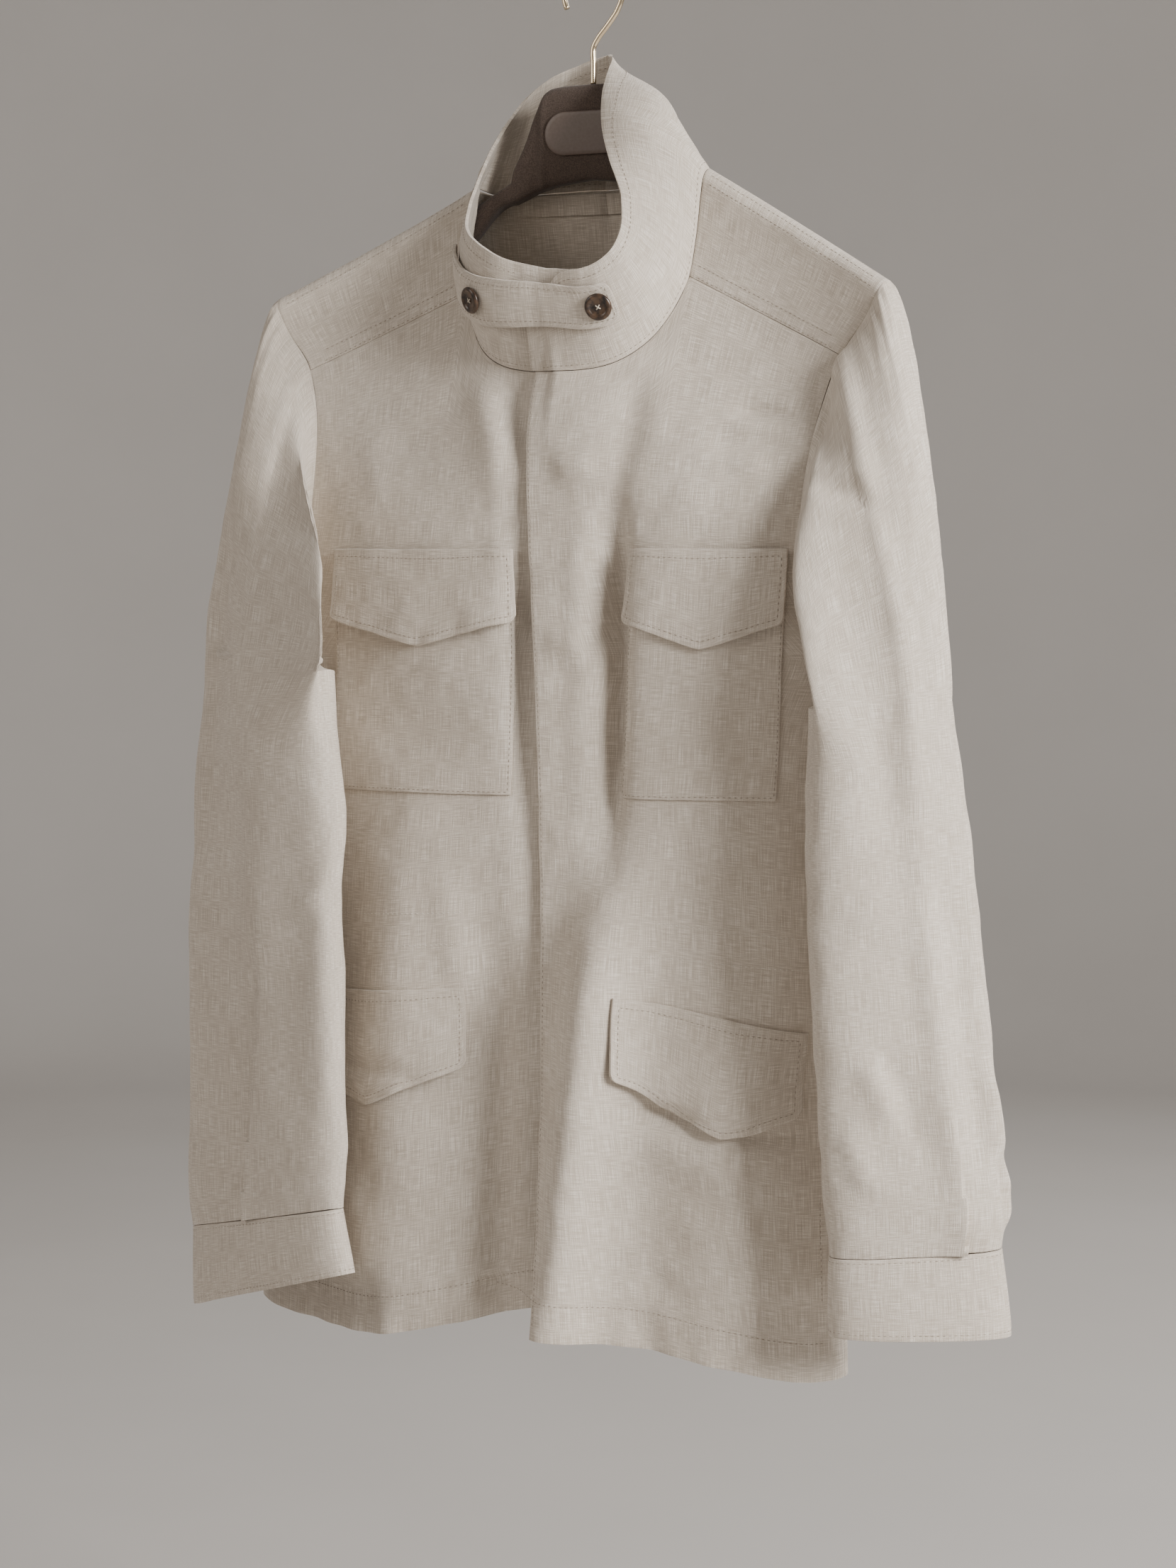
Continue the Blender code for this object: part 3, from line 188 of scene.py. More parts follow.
# Sleeve rings under the armhole: outer edge x, y, z, inner edge x, y, z, half thickness
SLEEVES = {
    "left": (
        (0.2665, -0.040, -0.4850, 0.1970, -0.100, -0.4900, 0.026),
        (0.2800, -0.041, -0.5630, 0.1960, -0.105, -0.5680, 0.024),
        (0.2890, -0.042, -0.6370, 0.1970, -0.104, -0.6370, 0.023),
        (0.2975, -0.043, -0.7120, 0.2015, -0.103, -0.7120, 0.022),
        (0.3060, -0.044, -0.7820, 0.2050, -0.101, -0.7820, 0.022),
        (0.3080, -0.045, -0.8070, 0.2075, -0.099, -0.8110, 0.021),
        (0.3060, -0.046, -0.8300, 0.2090, -0.097, -0.8350, 0.019),
    ),
    "right": (
        (-0.2550, -0.059, -0.4850, -0.1370, -0.132, -0.4700, 0.025),
        (-0.2650, -0.066, -0.5630, -0.1250, -0.133, -0.5660, 0.022),
        (-0.2670, -0.071, -0.6370, -0.1260, -0.136, -0.6370, 0.020),
        (-0.2670, -0.074, -0.7120, -0.1230, -0.137, -0.7080, 0.019),
        (-0.2710, -0.076, -0.7900, -0.1205, -0.138, -0.7780, 0.019),
        (-0.2720, -0.077, -0.8300, -0.1220, -0.138, -0.8080, 0.018),
        (-0.2680, -0.078, -0.8600, -0.1230, -0.137, -0.8260, 0.017),
    ),
}
# Cuff rings, same columns
CUFFS = {
    "left": (
        (0.3062, -0.046, -0.8306, 0.2088, -0.097, -0.8356, 0.0190),
        (0.3090, -0.046, -0.8480, 0.2080, -0.097, -0.8520, 0.0200),
        (0.3115, -0.046, -0.8680, 0.2085, -0.097, -0.8700, 0.0205),
        (0.3130, -0.046, -0.8860, 0.2090, -0.097, -0.8860, 0.0200),
    ),
    "right": (
        (-0.2682, -0.078, -0.8606, -0.1228, -0.137, -0.8266, 0.0170),
        (-0.2685, -0.078, -0.8790, -0.1200, -0.137, -0.8420, 0.0180),
        (-0.2685, -0.078, -0.8980, -0.1170, -0.137, -0.8560, 0.0185),
        (-0.2680, -0.078, -0.9160, -0.1140, -0.137, -0.8690, 0.0180),
    ),
}
RING_POWER = 2.5
ARMHOLE_BLEND = 0.2       # the front and back edges of the armhole meet within this share of a row
# Sleeve head: how it leaves the armhole (HEAD) and how it reaches the first hanging ring (HANG)
HEAD_OUT = 0.078
HEAD_OUT_TOP = 0.012
HEAD_OUT_FRONT = 0.030
HEAD_FORWARD = 0.100
HEAD_FORWARD_LOW = 0.060
HEAD_BACKWARD = 0.020
HEAD_DOWN = 0.045
HEAD_DOWN_TOP = 0.035
HEAD_SWEEP_SHARE = 0.35
HANG_OUT = 0.010
HANG_FORWARD = 0.010
HANG_DOWN = 0.140
HANG_DOWN_TOP = 0.110
UNDERARM_SWEEP = {"left": 0.12, "right": 0.34}
SWEEP_TOP = 0.30
REACH_FORWARD = 0.5
REACH_LEVEL = 2.6
REACH_RISE = 0.50
REACH_FALL = 0.9          # the fold dies out more softly here than in the solid
REACH_END = 1.6
FRONT_REACH = {"left": 0.018, "right": 0.052}   # the front of the head folds in over the chest
SLEEVE_ROUND = 0.27       # girth that turns a share of a turn into metres
# Sleeve creases: turn and height at the start, turn and height at the end, half spread, height outwards
SLEEVE_CREASES = {
    "left": (
        (0.235, -0.215, 0.240, -0.400, 0.008, 0.0042),
        (0.275, -0.235, 0.285, -0.360, 0.011, -0.0040),
        (0.240, -0.330, 0.215, -0.600, 0.010, 0.0040),
        (0.275, -0.350, 0.255, -0.620, 0.014, -0.0030),
        (0.215, -0.540, 0.168, -0.850, 0.009, 0.0044),
        (0.180, -0.560, 0.135, -0.830, 0.013, -0.0030),
        (0.300, -0.340, 0.215, -0.372, 0.007, -0.0030),
        (0.340, -0.700, 0.270, -0.760, 0.007, 0.0022),
        (0.300, -0.690, 0.240, -0.772, 0.008, -0.0020),
        (0.370, -0.745, 0.330, -0.800, 0.008, 0.0018),
        (0.100, -0.700, 0.050, -0.790, 0.010, 0.0028),
        (0.085, -0.760, 0.030, -0.815, 0.008, -0.0030),
        (0.040, -0.770, 0.000, -0.825, 0.006, 0.0030),
        (0.700, -0.400, 0.760, -0.640, 0.014, 0.0040),
        (0.820, -0.560, 0.780, -0.800, 0.012, -0.0034),
        (0.620, -0.600, 0.680, -0.780, 0.014, 0.0030),
    ),
    "right": (
        (0.105, -0.330, 0.095, -0.640, 0.009, 0.0046),
        (0.145, -0.340, 0.140, -0.660, 0.015, -0.0036),
        (0.095, -0.560, 0.120, -0.800, 0.011, 0.0030),
        (0.300, -0.420, 0.250, -0.700, 0.016, 0.0034),
        (0.220, -0.520, 0.200, -0.720, 0.013, -0.0028),
        (0.380, -0.560, 0.330, -0.790, 0.014, -0.0026),
        (0.255, -0.690, 0.225, -0.860, 0.011, -0.0022),
        (0.250, -0.300, 0.300, -0.400, 0.010, -0.0026),
        (0.420, -0.610, 0.340, -0.640, 0.008, 0.0018),
        (0.700, -0.400, 0.740, -0.640, 0.014, 0.0040),
        (0.820, -0.560, 0.790, -0.800, 0.012, -0.0034),
        (0.600, -0.600, 0.660, -0.800, 0.014, 0.0028),
    ),
}
# Pleat at each cuff: turn at the seam, drift of the turn over its length, length up the sleeve
PLEAT = {"left": (0.166, 0.022, 0.110), "right": (0.246, 0.047, 0.230)}
PLEAT_LIP = 0.0052
PLEAT_WIDTH = 0.0090
PLEAT_DIP = 0.6           # depth of the dip beside the lip, as a share of the lip
PLEAT_DIP_WIDTH = 0.0045
GATHER = 0.0011           # small gathers under the sleeve head seam
GATHER_REACH = 0.040
GATHER_COUNT = 27.0
GATHER_SWAY = (2.0, 9.0)  # unevenness of the gathers: size and rate
GATHER_LOW = 0.1          # they die out towards the underarm
GATHER_SPREAD = 0.7
HEAD_LENGTH = 0.30
SEAM_FADE = 0.06          # share of the head over which its relief starts
SLEEVE_SEED = {"left": 11, "right": 12}
CUFF_SEED = {"left": 31, "right": 32}
CUFF_CRUMPLE = 0.0006
CUFF_ROW = 0.018          # height of one row of the cuff tables

# Top edge of the collar on each side: share from front to back, x, y, z, outward bulge of the wall
COLLAR = {
    "left": (
        (0.00, 0.000, -0.079, -0.208, 0.000),
        (0.12, 0.028, -0.080, -0.209, 0.003),
        (0.25, 0.047, -0.077, -0.199, 0.005),
        (0.36, 0.052, -0.068, -0.181, 0.006),
        (0.47, 0.046, -0.057, -0.160, 0.008),
        (0.57, 0.032, -0.045, -0.136, 0.011),
        (0.66, 0.021, -0.033, -0.112, 0.018),
        (0.76, 0.016, -0.021, -0.090, 0.029),
        (0.86, 0.012, -0.002, -0.071, 0.030),
        (0.94, 0.004, 0.022, -0.059, 0.014),
        (1.00, -0.003, 0.033, -0.055, 0.002),
    ),
    "right": (
        (0.00, 0.000, -0.079, -0.208, 0.000),
        (0.12, -0.030, -0.080, -0.200, 0.003),
        (0.25, -0.054, -0.072, -0.187, 0.005),
        (0.36, -0.072, -0.048, -0.171, 0.005),
        (0.47, -0.077, -0.024, -0.147, 0.004),
        (0.57, -0.074, -0.003, -0.116, 0.003),
        (0.66, -0.066, 0.012, -0.094, 0.002),
        (0.76, -0.055, 0.022, -0.078, 0.002),
        (0.86, -0.038, 0.029, -0.066, 0.002),
        (0.94, -0.020, 0.032, -0.059, 0.002),
        (1.00, -0.003, 0.033, -0.055, 0.002),
    ),
}
COLLAR_END_CUT = 0.45
COLLAR_CORNER = (0.028, -0.020)
COLLAR_CORNER_SHARE = 0.30
COLLAR_OVER = 0.062       # the left end reaches this far past the centre front
COLLAR_UNDER = 0.10       # and the right end this far behind it
COLLAR_OVER_X = 0.26
COLLAR_LENGTH = 0.25      # half of the neck seam, for the cloth's own unevenness
COLLAR_CRUMPLE = 0.0011
COLLAR_HEIGHT = 0.065
COLLAR_SEED = 21
COLLAR_CRUMPLE_FADE = (0.2, 0.1)   # shares over which it fades to the neck seam and to the centre back
COLLAR_CORNER_POWER = 1.5
COLLAR_END_STEPS = 9
TOP_STEP = 0.02           # steps along the collar for its directions
NORMAL_STEP = 0.01
FEET_STEPS = (14, 9, 14)  # points of the neck seam on the front, the yoke and the back
FEET_FRONT_END = 0.002
FEET_BACK_START = 0.006
NECK_INSIDE = (0.0, -0.02, -0.17)
# Throat tab on the collar
TAB_RIGHT_SHARE = 0.400
TAB_LEFT_SHARE = 0.200
TAB_OUT = LAYER + 0.0022
TAB_LOW = {"left": 0.39, "middle": 0.44, "right": 0.25}
TAB_HEIGHT_SHARE = 0.42
BUTTON_LEFT_SHARE = 0.155
BUTTON_RIGHT_SHARE = 0.205
BUTTON_RADIUS = 0.0090
BUTTON_THICK = 0.0034
BUTTON_STAND = 0.0008
BUTTON_LIFT = 0.01        # steps that give a button's directions
BUTTON_STEP = 0.02
BUTTON_SHAPE = (          # radius and height as shares
    (0.0, 0.66), (0.40, 0.67), (0.56, 0.70), (0.64, 0.82), (0.70, 0.95), (0.78, 1.0), (0.87, 0.97),
    (0.95, 0.84), (1.0, 0.60), (0.99, 0.40), (0.93, 0.16), (0.84, 0.0), (0.0, 0.0))
THREAD_LEVEL = 0.70       # share of the button's thickness
THREAD_HALF = 0.0019
THREAD_RISE = 0.0005
THREAD_RADIUS = 0.00045
THREAD_POINTS = (12, 10)  # along it and round it

# Pockets and flaps: x of their inner and outer edges, their heights and the shapes of the flaps
CHEST = {"right": (-0.022, -0.160), "left": (0.062, 0.166)}
CHEST_POCKET_TOP = -0.412
CHEST_POCKET_BOTTOM = -0.552
CHEST_FLAP = {"top": -0.390, "fall": 0.0, "height": 0.047, "point": 0.018, "tip": 0.50}
LOWER = {"right": (-0.053, -0.189), "left": (0.081, 0.195)}
LOWER_FLAP = {
    "right": {"top": -0.680, "fall": 0.010, "height": 0.053, "point": 0.025, "tip": 0.50},
    "left": {"top": -0.679, "fall": 0.024, "height": 0.053, "point": 0.025, "tip": 0.62},
}
CHEST_FLAP_OUT = LAYER + GAP + DOUBLE_CLOTH
LOWER_FLAP_OUT = GAP + DOUBLE_CLOTH
FLAP_LIFT = 0.0030        # the lower edge of a flap stands off the cloth by this much
FLAP_ROUND = 0.004        # radius of a flap's corners
TAB_FACE = TAB_OUT + 0.0004
TAB_ROUND = 0.05          # how much the tab's corners draw in, as a share of the collar
TAPE_HALF = 0.060
TAPE_TOP = -0.150
TAPE_BOTTOM = -0.164
FLAP_SEED = {"left": 41, "right": 42}
FLAP_UNEVEN = 0.5         # unevenness of the lift and its fineness across
FLAP_UNEVEN_SCALE = 1.4
FLAP_TIP_ROUND = 0.03     # rounding of the flap's point and its spread, as shares of the peak
FLAP_TIP_SPREAD = 0.06
TAB_ROUND_POWER = 6
TAB_ROUND_LEFT = 0.6      # the left end is rounded less
# Points that the inner faces of the cloth look towards
FRONT_INSIDE = (0.0, 0.0, -0.50)
BACK_INSIDE = (0.0, -0.03, -0.50)
YOKE_INSIDE = (0.15, -0.01, -0.35)
TAPE_INSIDE = (0.0, 1.0, -0.157)
CLOTH_EDGE = 0.0004       # softness of the cut edges
DOUBLE_EDGE = 0.0007
EDGE_ANGLE = 50.0
# Columns and rows of the points
POCKET_GRID = (70, 70)
FLAP_GRID = (90, 36)
TAPE_GRID = (50, 8)

# Hanger
HANGER_HALF = 0.0085
HANGER_ARM_HALF = 0.0070
HANGER_BLOCK = {"x": (0.0, 0.026, 0.034, 0.041, 0.048, 0.058),
                "top": (-0.0800, -0.0810, -0.0850, -0.0980, -0.1165, -0.1365),
                "bottom": (-0.1430, -0.1460, -0.1480, -0.1500, -0.1530, -0.1570)}
HANGER_REACH = 0.212
HANGER_CLEAR = 0.004
HANGER_NECK_CLEAR = 0.012
HANGER_ARM_HEIGHT = 0.026
HANGER_BLEND = 0.035
HANGER_POWERS = (5.0, 2.4)
HANGER_END_SHARE = 0.55
HANGER_RIB_X = 0.0345     # a soft rib borders the raised middle
HANGER_RIB = 0.0008
HANGER_RIB_WIDTH = 0.0022
HANGER_DISH = 0.0010      # the sides of the block are this much thinner
HANGER_DISH_SPREAD = 0.006
HANGER_END = 0.012
HANGER_INSIDE = (0.0, -0.004, -0.16)
PLATE_LENGTH = 0.063
PLATE_HEIGHT = 0.029
PLATE_THICK = 0.0014
PLATE_Z = -0.1125
PLATE_INSIDE = (0.0, -HANGER_HALF, PLATE_Z)
PLATE_SINK = 0.4          # share of the rib's height
PLATE_SHAPE = ((0.0, 1.0), (0.80, 1.0), (0.95, 0.93), (1.0, 0.70), (1.0, 0.0), (0.0, 0.0))
PLATE_POINTS = 96
PLATE_TURN = 40.0         # sharpness of the change from its round ends to its straight edges
PLATE_SPREAD = 1.2
WIRE_RADIUS = 0.0019
HOOK_INNER = 0.0195
HOOK_START = -28.0
HOOK_END = 205.0
HOOK_STEM = ((0.0, -0.066), (0.0, -0.056), (0.0035, -0.0495), (0.010, -0.042), (0.0165, -0.034))
HOOK_INSIDE = (0.0, 0.0, -0.03)

# Sewing
STITCH_PITCH = 0.0037
STITCH_LENGTH = 0.0026
STITCH_WIDTH = 0.0008
STITCH_HEIGHT = 0.0003
STITCH_BASE = 0.0001      # heights over the cloth that give a stitch's place and its upward direction
STITCH_PROBE = 0.0011
STITCH_STEP = 0.0012
LINE_POINTS = 240
WAIST_ROWS = {
    "right": (((-0.228, -0.640), (-0.053, -0.630)), ((-0.228, -0.662), (-0.051, -0.651))),
    "left": (((0.083, -0.632), (0.180, -0.643)), ((0.072, -0.653), (0.180, -0.663))),
    "back": (((-0.228, -0.640), (0.178, -0.643)), ((-0.228, -0.662), (0.178, -0.663))),
}
HEM_STITCH = 0.025
HEM_STITCH_X = (-0.238, 0.184)
PLACKET_STITCH_Z = (-0.278, -0.896)
PLACKET_STITCH_IN = 0.0018
SIDE_STITCH = ((0.181, 0.183), (-0.813, -0.880))
YOKE_STITCH_X = (0.086, 0.186)
YOKE_STITCH_RISES = (0.0016, 0.0095)
SHOULDER_STITCH_X = (0.090, 0.214)
SHOULDER_STITCH_DROPS = (0.0030, 0.0090)
POCKET_STITCH = (0.014, 0.986)
POCKET_STITCH_DOWN = (0.18, 0.985)
FLAP_STITCH_SIDE = 0.0036
FLAP_STITCH_LOW = 0.0038
FLAP_STITCH_TOP = 0.10
CUFF_STITCH_ROWS = (0.16, 2.78)
COLLAR_STITCH_RISES = (0.050, 0.905)
COLLAR_STITCH_RUNS = ((-COLLAR_OVER - 0.01, -0.995), (0.995, -0.035))
TAB_STITCH_HEIGHTS = (0.13, 0.87)
TAB_STITCH_ENDS = (-TAB_RIGHT_SHARE + 0.02, TAB_LEFT_SHARE - 0.014)

# Linen: colours, and the scales of its threads across and along the cloth
LINEN_DARK = (0.470, 0.408, 0.340)
LINEN_MIDDLE = (0.580, 0.515, 0.440)
LINEN_LIGHT = (0.710, 0.650, 0.575)
LINEN_STOPS = ((0.30, LINEN_DARK), (0.50, LINEN_MIDDLE), (0.70, LINEN_LIGHT))
LINEN_ROUGHNESS = 0.92
LINEN_SHEEN = 0.18
LINEN_SHEEN_ROUGHNESS = 0.5
LINEN_SPECULAR = 0.22
WEFT_SCALE = (90.0, 2000.0, 1.0)
WARP_SCALE = (2000.0, 50.0, 1.0)
GRAIN_SCALE = (3000.0, 3000.0, 1.0)
BROAD_SCALE = (16.0, 16.0, 1.0)
BROAD_SHARE = 0.25
GRAIN_SHARE = 0.30
GRAIN_RELIEF = 0.8
WEAVE_STRENGTH = 0.55
WEAVE_RELIEF = 0.0004
TONE_RANGE = (0.85, 1.80)   # sum of the noises
# Other finishes: dark and light colour, fineness of the speckle, roughness, metallic, sheen, relief
SPECKLE_STOPS = (0.36, 0.66)
SPECKLE_STRENGTH = 0.5
FINISHES = {
    # The seam thread is darkened as painted shade: its colour stands in for the shadow of the needle holes
    # that the stitches sink into.
    "seam_thread_painted_shade": ((0.30, 0.255, 0.205), (0.40, 0.345, 0.285), 900.0, 0.8),
    "waist_thread": ((0.60, 0.55, 0.48), (0.72, 0.67, 0.60), 900.0, 0.8),
    "dark_horn": ((0.012, 0.009, 0.008), (0.085, 0.050, 0.030), 260.0, 0.28),
    "button_thread": ((0.42, 0.36, 0.29), (0.52, 0.46, 0.38), 900.0, 0.8),
    # The flock's brown is darkened partly as painted shade, for the collar's shadow over the hanger; the
    # rest is its own dark brown.
    "brown_flock_and_painted_shade": ((0.048, 0.032, 0.024), (0.100, 0.071, 0.055), 1400.0, 0.95, 0.0, 0.15, 0.0004),
    "plate_brown": ((0.105, 0.074, 0.058), (0.122, 0.088, 0.070), 500.0, 0.42),
    "pale_gold": ((0.74, 0.61, 0.42), (0.80, 0.68, 0.50), 60.0, 0.20, 1.0),
    "backdrop_paint": ((0.520, 0.495, 0.470), (0.535, 0.510, 0.485), 3.0, 0.95),
}

# Stage: a round room without a ceiling
ROOM_RADIUS = 4.6
FLOOR_Z = -1.35
FLOOR_HOLE = 0.001
ROOM_HEIGHT = 4.2
ROOM_BEND = 0.9
ROOM_POINTS = 96
# Lights: place, size, power and colour
LIGHTS = {
    "key_light": ((2.75, -0.75, 0.45), 1.3, 175.0, (1.0, 0.985, 0.965)),
    "fill_light": ((-2.0, -2.2, 0.9), 1.6, 26.0, (1.0, 0.94, 0.88)),
    "back_light": ((0.6, 2.6, 1.0), 1.8, 40.0, (1.0, 0.98, 0.96)),
}
LIGHT_AIM = Vector((0.0, -0.05, -0.52))
WORLD_COLOUR = (1.0, 0.965, 0.93, 1.0)
WORLD_STRENGTH = 0.24
# Camera at the photo's angle
CAMERA_PLACE = (0.9265, -1.9954, -0.3952)
CAMERA_TILT = 86.0
CAMERA_TURN = 25.0
CAMERA_SENSOR = 36.0
CAMERA_LENS = 74.54


def ease(value):
    value = np.clip(value, 0.0, 1.0)
    return value * value * (3.0 - 2.0 * value)


def mix(a, b, share):
    return a + (b - a) * share


def curve(at, knots, values):
    """Smooth curve through a short table, constant beyond its ends."""
    knots = np.asarray(knots, float)
    values = np.asarray(values, float)
    if knots[0] > knots[-1]:
        knots = knots[::-1]
        values = values[::-1]
    last = len(knots) - 1
    low = np.maximum(np.arange(last + 1) - 1, 0)
    high = np.minimum(np.arange(last + 1) + 1, last)
    slopes = (values[high] - values[low]) / (knots[high] - knots[low])
    at = np.clip(at, knots[0], knots[-1])
    i = np.clip(np.searchsorted(knots, at) - 1, 0, last - 1)
    step = knots[i + 1] - knots[i]
    t = (at - knots[i]) / step
    return ((1 + 2 * t) * (1 - t) ** 2 * values[i] + t * (1 - t) ** 2 * step * slopes[i]
            + t * t * (3 - 2 * t) * values[i + 1] + t * t * (t - 1) * step * slopes[i + 1])


def unit(vectors):
    return vectors / np.linalg.norm(vectors, axis=-1, keepdims=True)


def running_length(points):
    """Length along a row of points, from 0 at its start."""
    return np.concatenate([[0.0], np.cumsum(np.linalg.norm(np.diff(points, axis=0), axis=-1))])


def turn_row(count):
    """Even shares of a full turn, as one row."""
    return np.arange(count)[None, :] / count


def crumple(u, v, seed):
    """Soft uneven surface between about -1 and 1: a sum of slanting waves of several lengths."""
    chance = np.random.default_rng(seed)
    total = np.zeros(np.broadcast(u, v).shape)
    for length, share, count in CRUMPLE_WAVES:
        for _ in range(count):
            slant = chance.uniform(0.0, math.pi)
            wave = length * chance.uniform(*CRUMPLE_RANGE)
            start = chance.uniform(0.0, 2.0 * math.pi)
            along = u * math.cos(slant) + v * math.sin(slant)
            total += share / math.sqrt(count) * np.sin(2.0 * math.pi * along / wave + start)
    return total


def body_value(column, z):
    return curve(z, BODY["height"], BODY[column])


def by_side(x, part):
    """Value of the shoulder table for the side that x is on."""
    return np.where(x >= 0.0, SHOULDER["left"][part], SHOULDER["right"][part])


def shoulder_z(x):
    slope = (by_side(x, "tip") - by_side(x, "neck")) / (TIP_X - NECK_HALF)
    return by_side(x, "neck") + slope * (np.abs(x) - NECK_HALF)


def arm_y(x):
    """Forward curve of the hanger arms and of the shoulder line over them."""
    return -ARM_FORWARD * (np.maximum(np.abs(x) - ARM_STRAIGHT, 0.0) / (TIP_X - ARM_STRAIGHT)) ** 2


def fold_height(panel, x, z):
    """Large folds, soft creases and fine unevenness of one panel, outwards."""
    total = np.zeros(np.broadcast(x, z).shape)
    for name, x_top, x_bottom, z_top, z_bottom, spread, height in FOLDS:
        if name != panel and not (name == "front" and panel in SIGN):
            continue
        share = (z_top - z) / (z_top - z_bottom)
        window = ease(share / FOLD_FADE)
        if z_bottom > HEM:
            window = window * ease((1.0 - share) / FOLD_FADE)
        middle = mix(x_top, x_bottom, share)
        total += height * window * np.exp(-((x - middle) / spread) ** 2)
    for name, x0, z0, x1, z1, spread, height in CREASES:
        if name != panel:
            continue
        length = math.hypot(x1 - x0, z1 - z0)
        along = ((x - x0) * (x1 - x0) + (z - z0) * (z1 - z0)) / length ** 2
        across = ((x - x0) * (z1 - z0) - (z - z0) * (x1 - x0)) / length
        window = ease(along / CREASE_FADE) * ease((1.0 - along) / CREASE_FADE)
        total += CREASE_LEVEL * height * window * np.exp(-(across / spread) ** 2)
    total += CRUMPLE * crumple(x, z, CRUMPLE_SEED[panel])
    near = np.maximum(z - hem_z(panel, x), 0.0)
    wave = sum(share * np.sin(x * rate + start) for rate, start, share in HEM_WAVES)
    return total + HEM_WAVE * wave * np.exp(-near / HEM_WAVE_REACH)


def edge_x(z):
    return curve(z, EDGE["height"], EDGE["x"])


def underlap(x, z):
    """How far the right front sinks back towards and behind the centre front edge."""
    return UNDERLAP * ease((x - edge_x(z) + UNDERLAP_START) / UNDERLAP_SPREAD)


def body_y(panel, x, z):
    """Depth of the outer cloth surface at x and z, for the panels left, right and back."""
    drop = np.maximum(shoulder_z(x) - z, 0.0)
    low = body_value("side_right", z)
    high = body_value("side_left", z)
    share = np.minimum(np.abs(x - (low + high) / 2.0) / ((high - low) / 2.0), 1.0)
    side = (1.0 - share ** SECTION_POWER) ** (1.0 / SECTION_POWER)
    cap = SHOULDER_RADIUS * np.sqrt(1.0 - (1.0 - np.minimum(drop / SHOULDER_RADIUS, 1.0)) ** 2)
    cap = cap * mix(1.0, side, ease((CAP_FADE_TOP - z) / CAP_FADE))
    middle = mix(arm_y(x), body_value("middle", z), ease(drop / MIDDLE_DROP))
    if panel == "back":
        grown = body_value("back", z) * ease(drop / BACK_DROP)
        return middle + SEAM_HALF + cap + (grown + fold_height(panel, x, z)) * side
    grown = body_value("front", z) * ease(drop / FRONT_DROP)
    y = middle - SEAM_HALF - cap - (grown + fold_height(panel, x, z)) * side
    if panel == "right":
        y = y + underlap(x, z)
    return y


def body_point(panel, x, z, out=0.0):
    """Points on a panel, moved out along the surface normal."""
    x, z = np.broadcast_arrays(np.asarray(x, float), np.asarray(z, float))
    points = np.stack([x, body_y(panel, x, z), z], -1)
    if np.isscalar(out) and out == 0.0:
        return points
    step = SLOPE_STEP
    slope_x = (body_y(panel, x + step, z) - body_y(panel, x - step, z)) / (2 * step)
    slope_z = (body_y(panel, x, z + step) - body_y(panel, x, z - step)) / (2 * step)
    normal = unit(np.stack([slope_x, -np.ones_like(x), slope_z], -1))
    if panel == "back":
        normal = -normal
    return points + normal * np.asarray(out)[..., None]


def armhole_x(side, panel, z):
    tip = SHOULDER[side]["tip"]
    share = (tip - z) / (tip - UNDERARM)
    straight = mix(TIP_X, abs(body_value("side_" + side, UNDERARM)), share)
    return SIGN[side] * (straight - curve(share, ARMHOLE["share"], ARMHOLE[panel]))


def side_x(side, panel, z):
    """Outer edge of a panel: the armhole, and the side seam under it."""
    return np.where(z > UNDERARM, armhole_x(side, panel, z), body_value("side_" + side, z))


def neck_z(x):
    """Front neck seam over x."""
    share = np.minimum(np.abs(x) / NECK_HALF, 1.0)
    level = mix(NECK_MIDDLE_Z, by_side(x, "neck"), ease((np.abs(x) - NECK_LEVEL_X) / NECK_LEVEL_SPREAD))
    return level - NECK_DROP * (1.0 - share ** NECK_POWER) ** (1.0 / NECK_POWER)


def back_neck_z(x):
    share = np.minimum(np.abs(x) / NECK_HALF, 1.0)
    level = mix(NECK_MIDDLE_Z, by_side(x, "neck"), ease(share))
    return level - BACK_NECK_DROP * (1.0 - share ** NECK_POWER) ** (1.0 / NECK_POWER)


def yoke_seam_z(side, x):
    start = neck_z(SIGN[side] * YOKE_NECK_X)
    end_x = abs(armhole_x(side, "front", YOKE_END_Z))
    return mix(start, YOKE_END_Z, (np.abs(x) - YOKE_NECK_X) / (end_x - YOKE_NECK_X))


def front_top_z(side, x):
    return np.where(np.abs(x) < YOKE_NECK_X, neck_z(x), yoke_seam_z(side, x))


def hem_z(panel, x):
    return curve(x, HEM_LINE[panel]["x"], HEM_LINE[panel]["z"])


def grain_x(side, x, z):
    """X of a front's thread at a height; the left front hangs slightly askew below the chest."""
    if side == "right":
        return x + 0.0 * z
    drift = np.where(z < GRAIN_START, np.maximum(GRAIN_SLANT * (z - GRAIN_START), -GRAIN_LIMIT), 0.0)
    return x + drift * np.clip((x - GRAIN_EDGE) / GRAIN_SPREAD, 0.0, 1.0)


def armhole_point(side, turn):
    """Points of the armhole seam: turn 0 is the shoulder tip, a half turn the underarm."""
    heights = [mix(SHOULDER[side]["tip"], YOKE_END_Z, step ** 2) for step in YOKE_STEPS]
    heights.append(mix(YOKE_END_Z, FIXED_TOP, 0.5))
    heights += list(ARMHOLE_ROWS)
    last = len(heights) - 1
    place = 2 * last * turn
    at = np.where(place <= last, place, 2 * last - place)
    z = np.interp(at, np.arange(last + 1), heights)
    edges = []
    for panel, name in ((side, "front"), ("back", "back")):
        x = armhole_x(side, name, z)
        edges.append(np.stack([x, body_y(panel, x, z), z], -1))
    own = np.where((place <= last)[..., None], edges[0], edges[1])
    apart = np.minimum(np.minimum(at, last - at) / ARMHOLE_BLEND, 1.0)[..., None]
    return mix((edges[0] + edges[1]) / 2.0, own, apart)


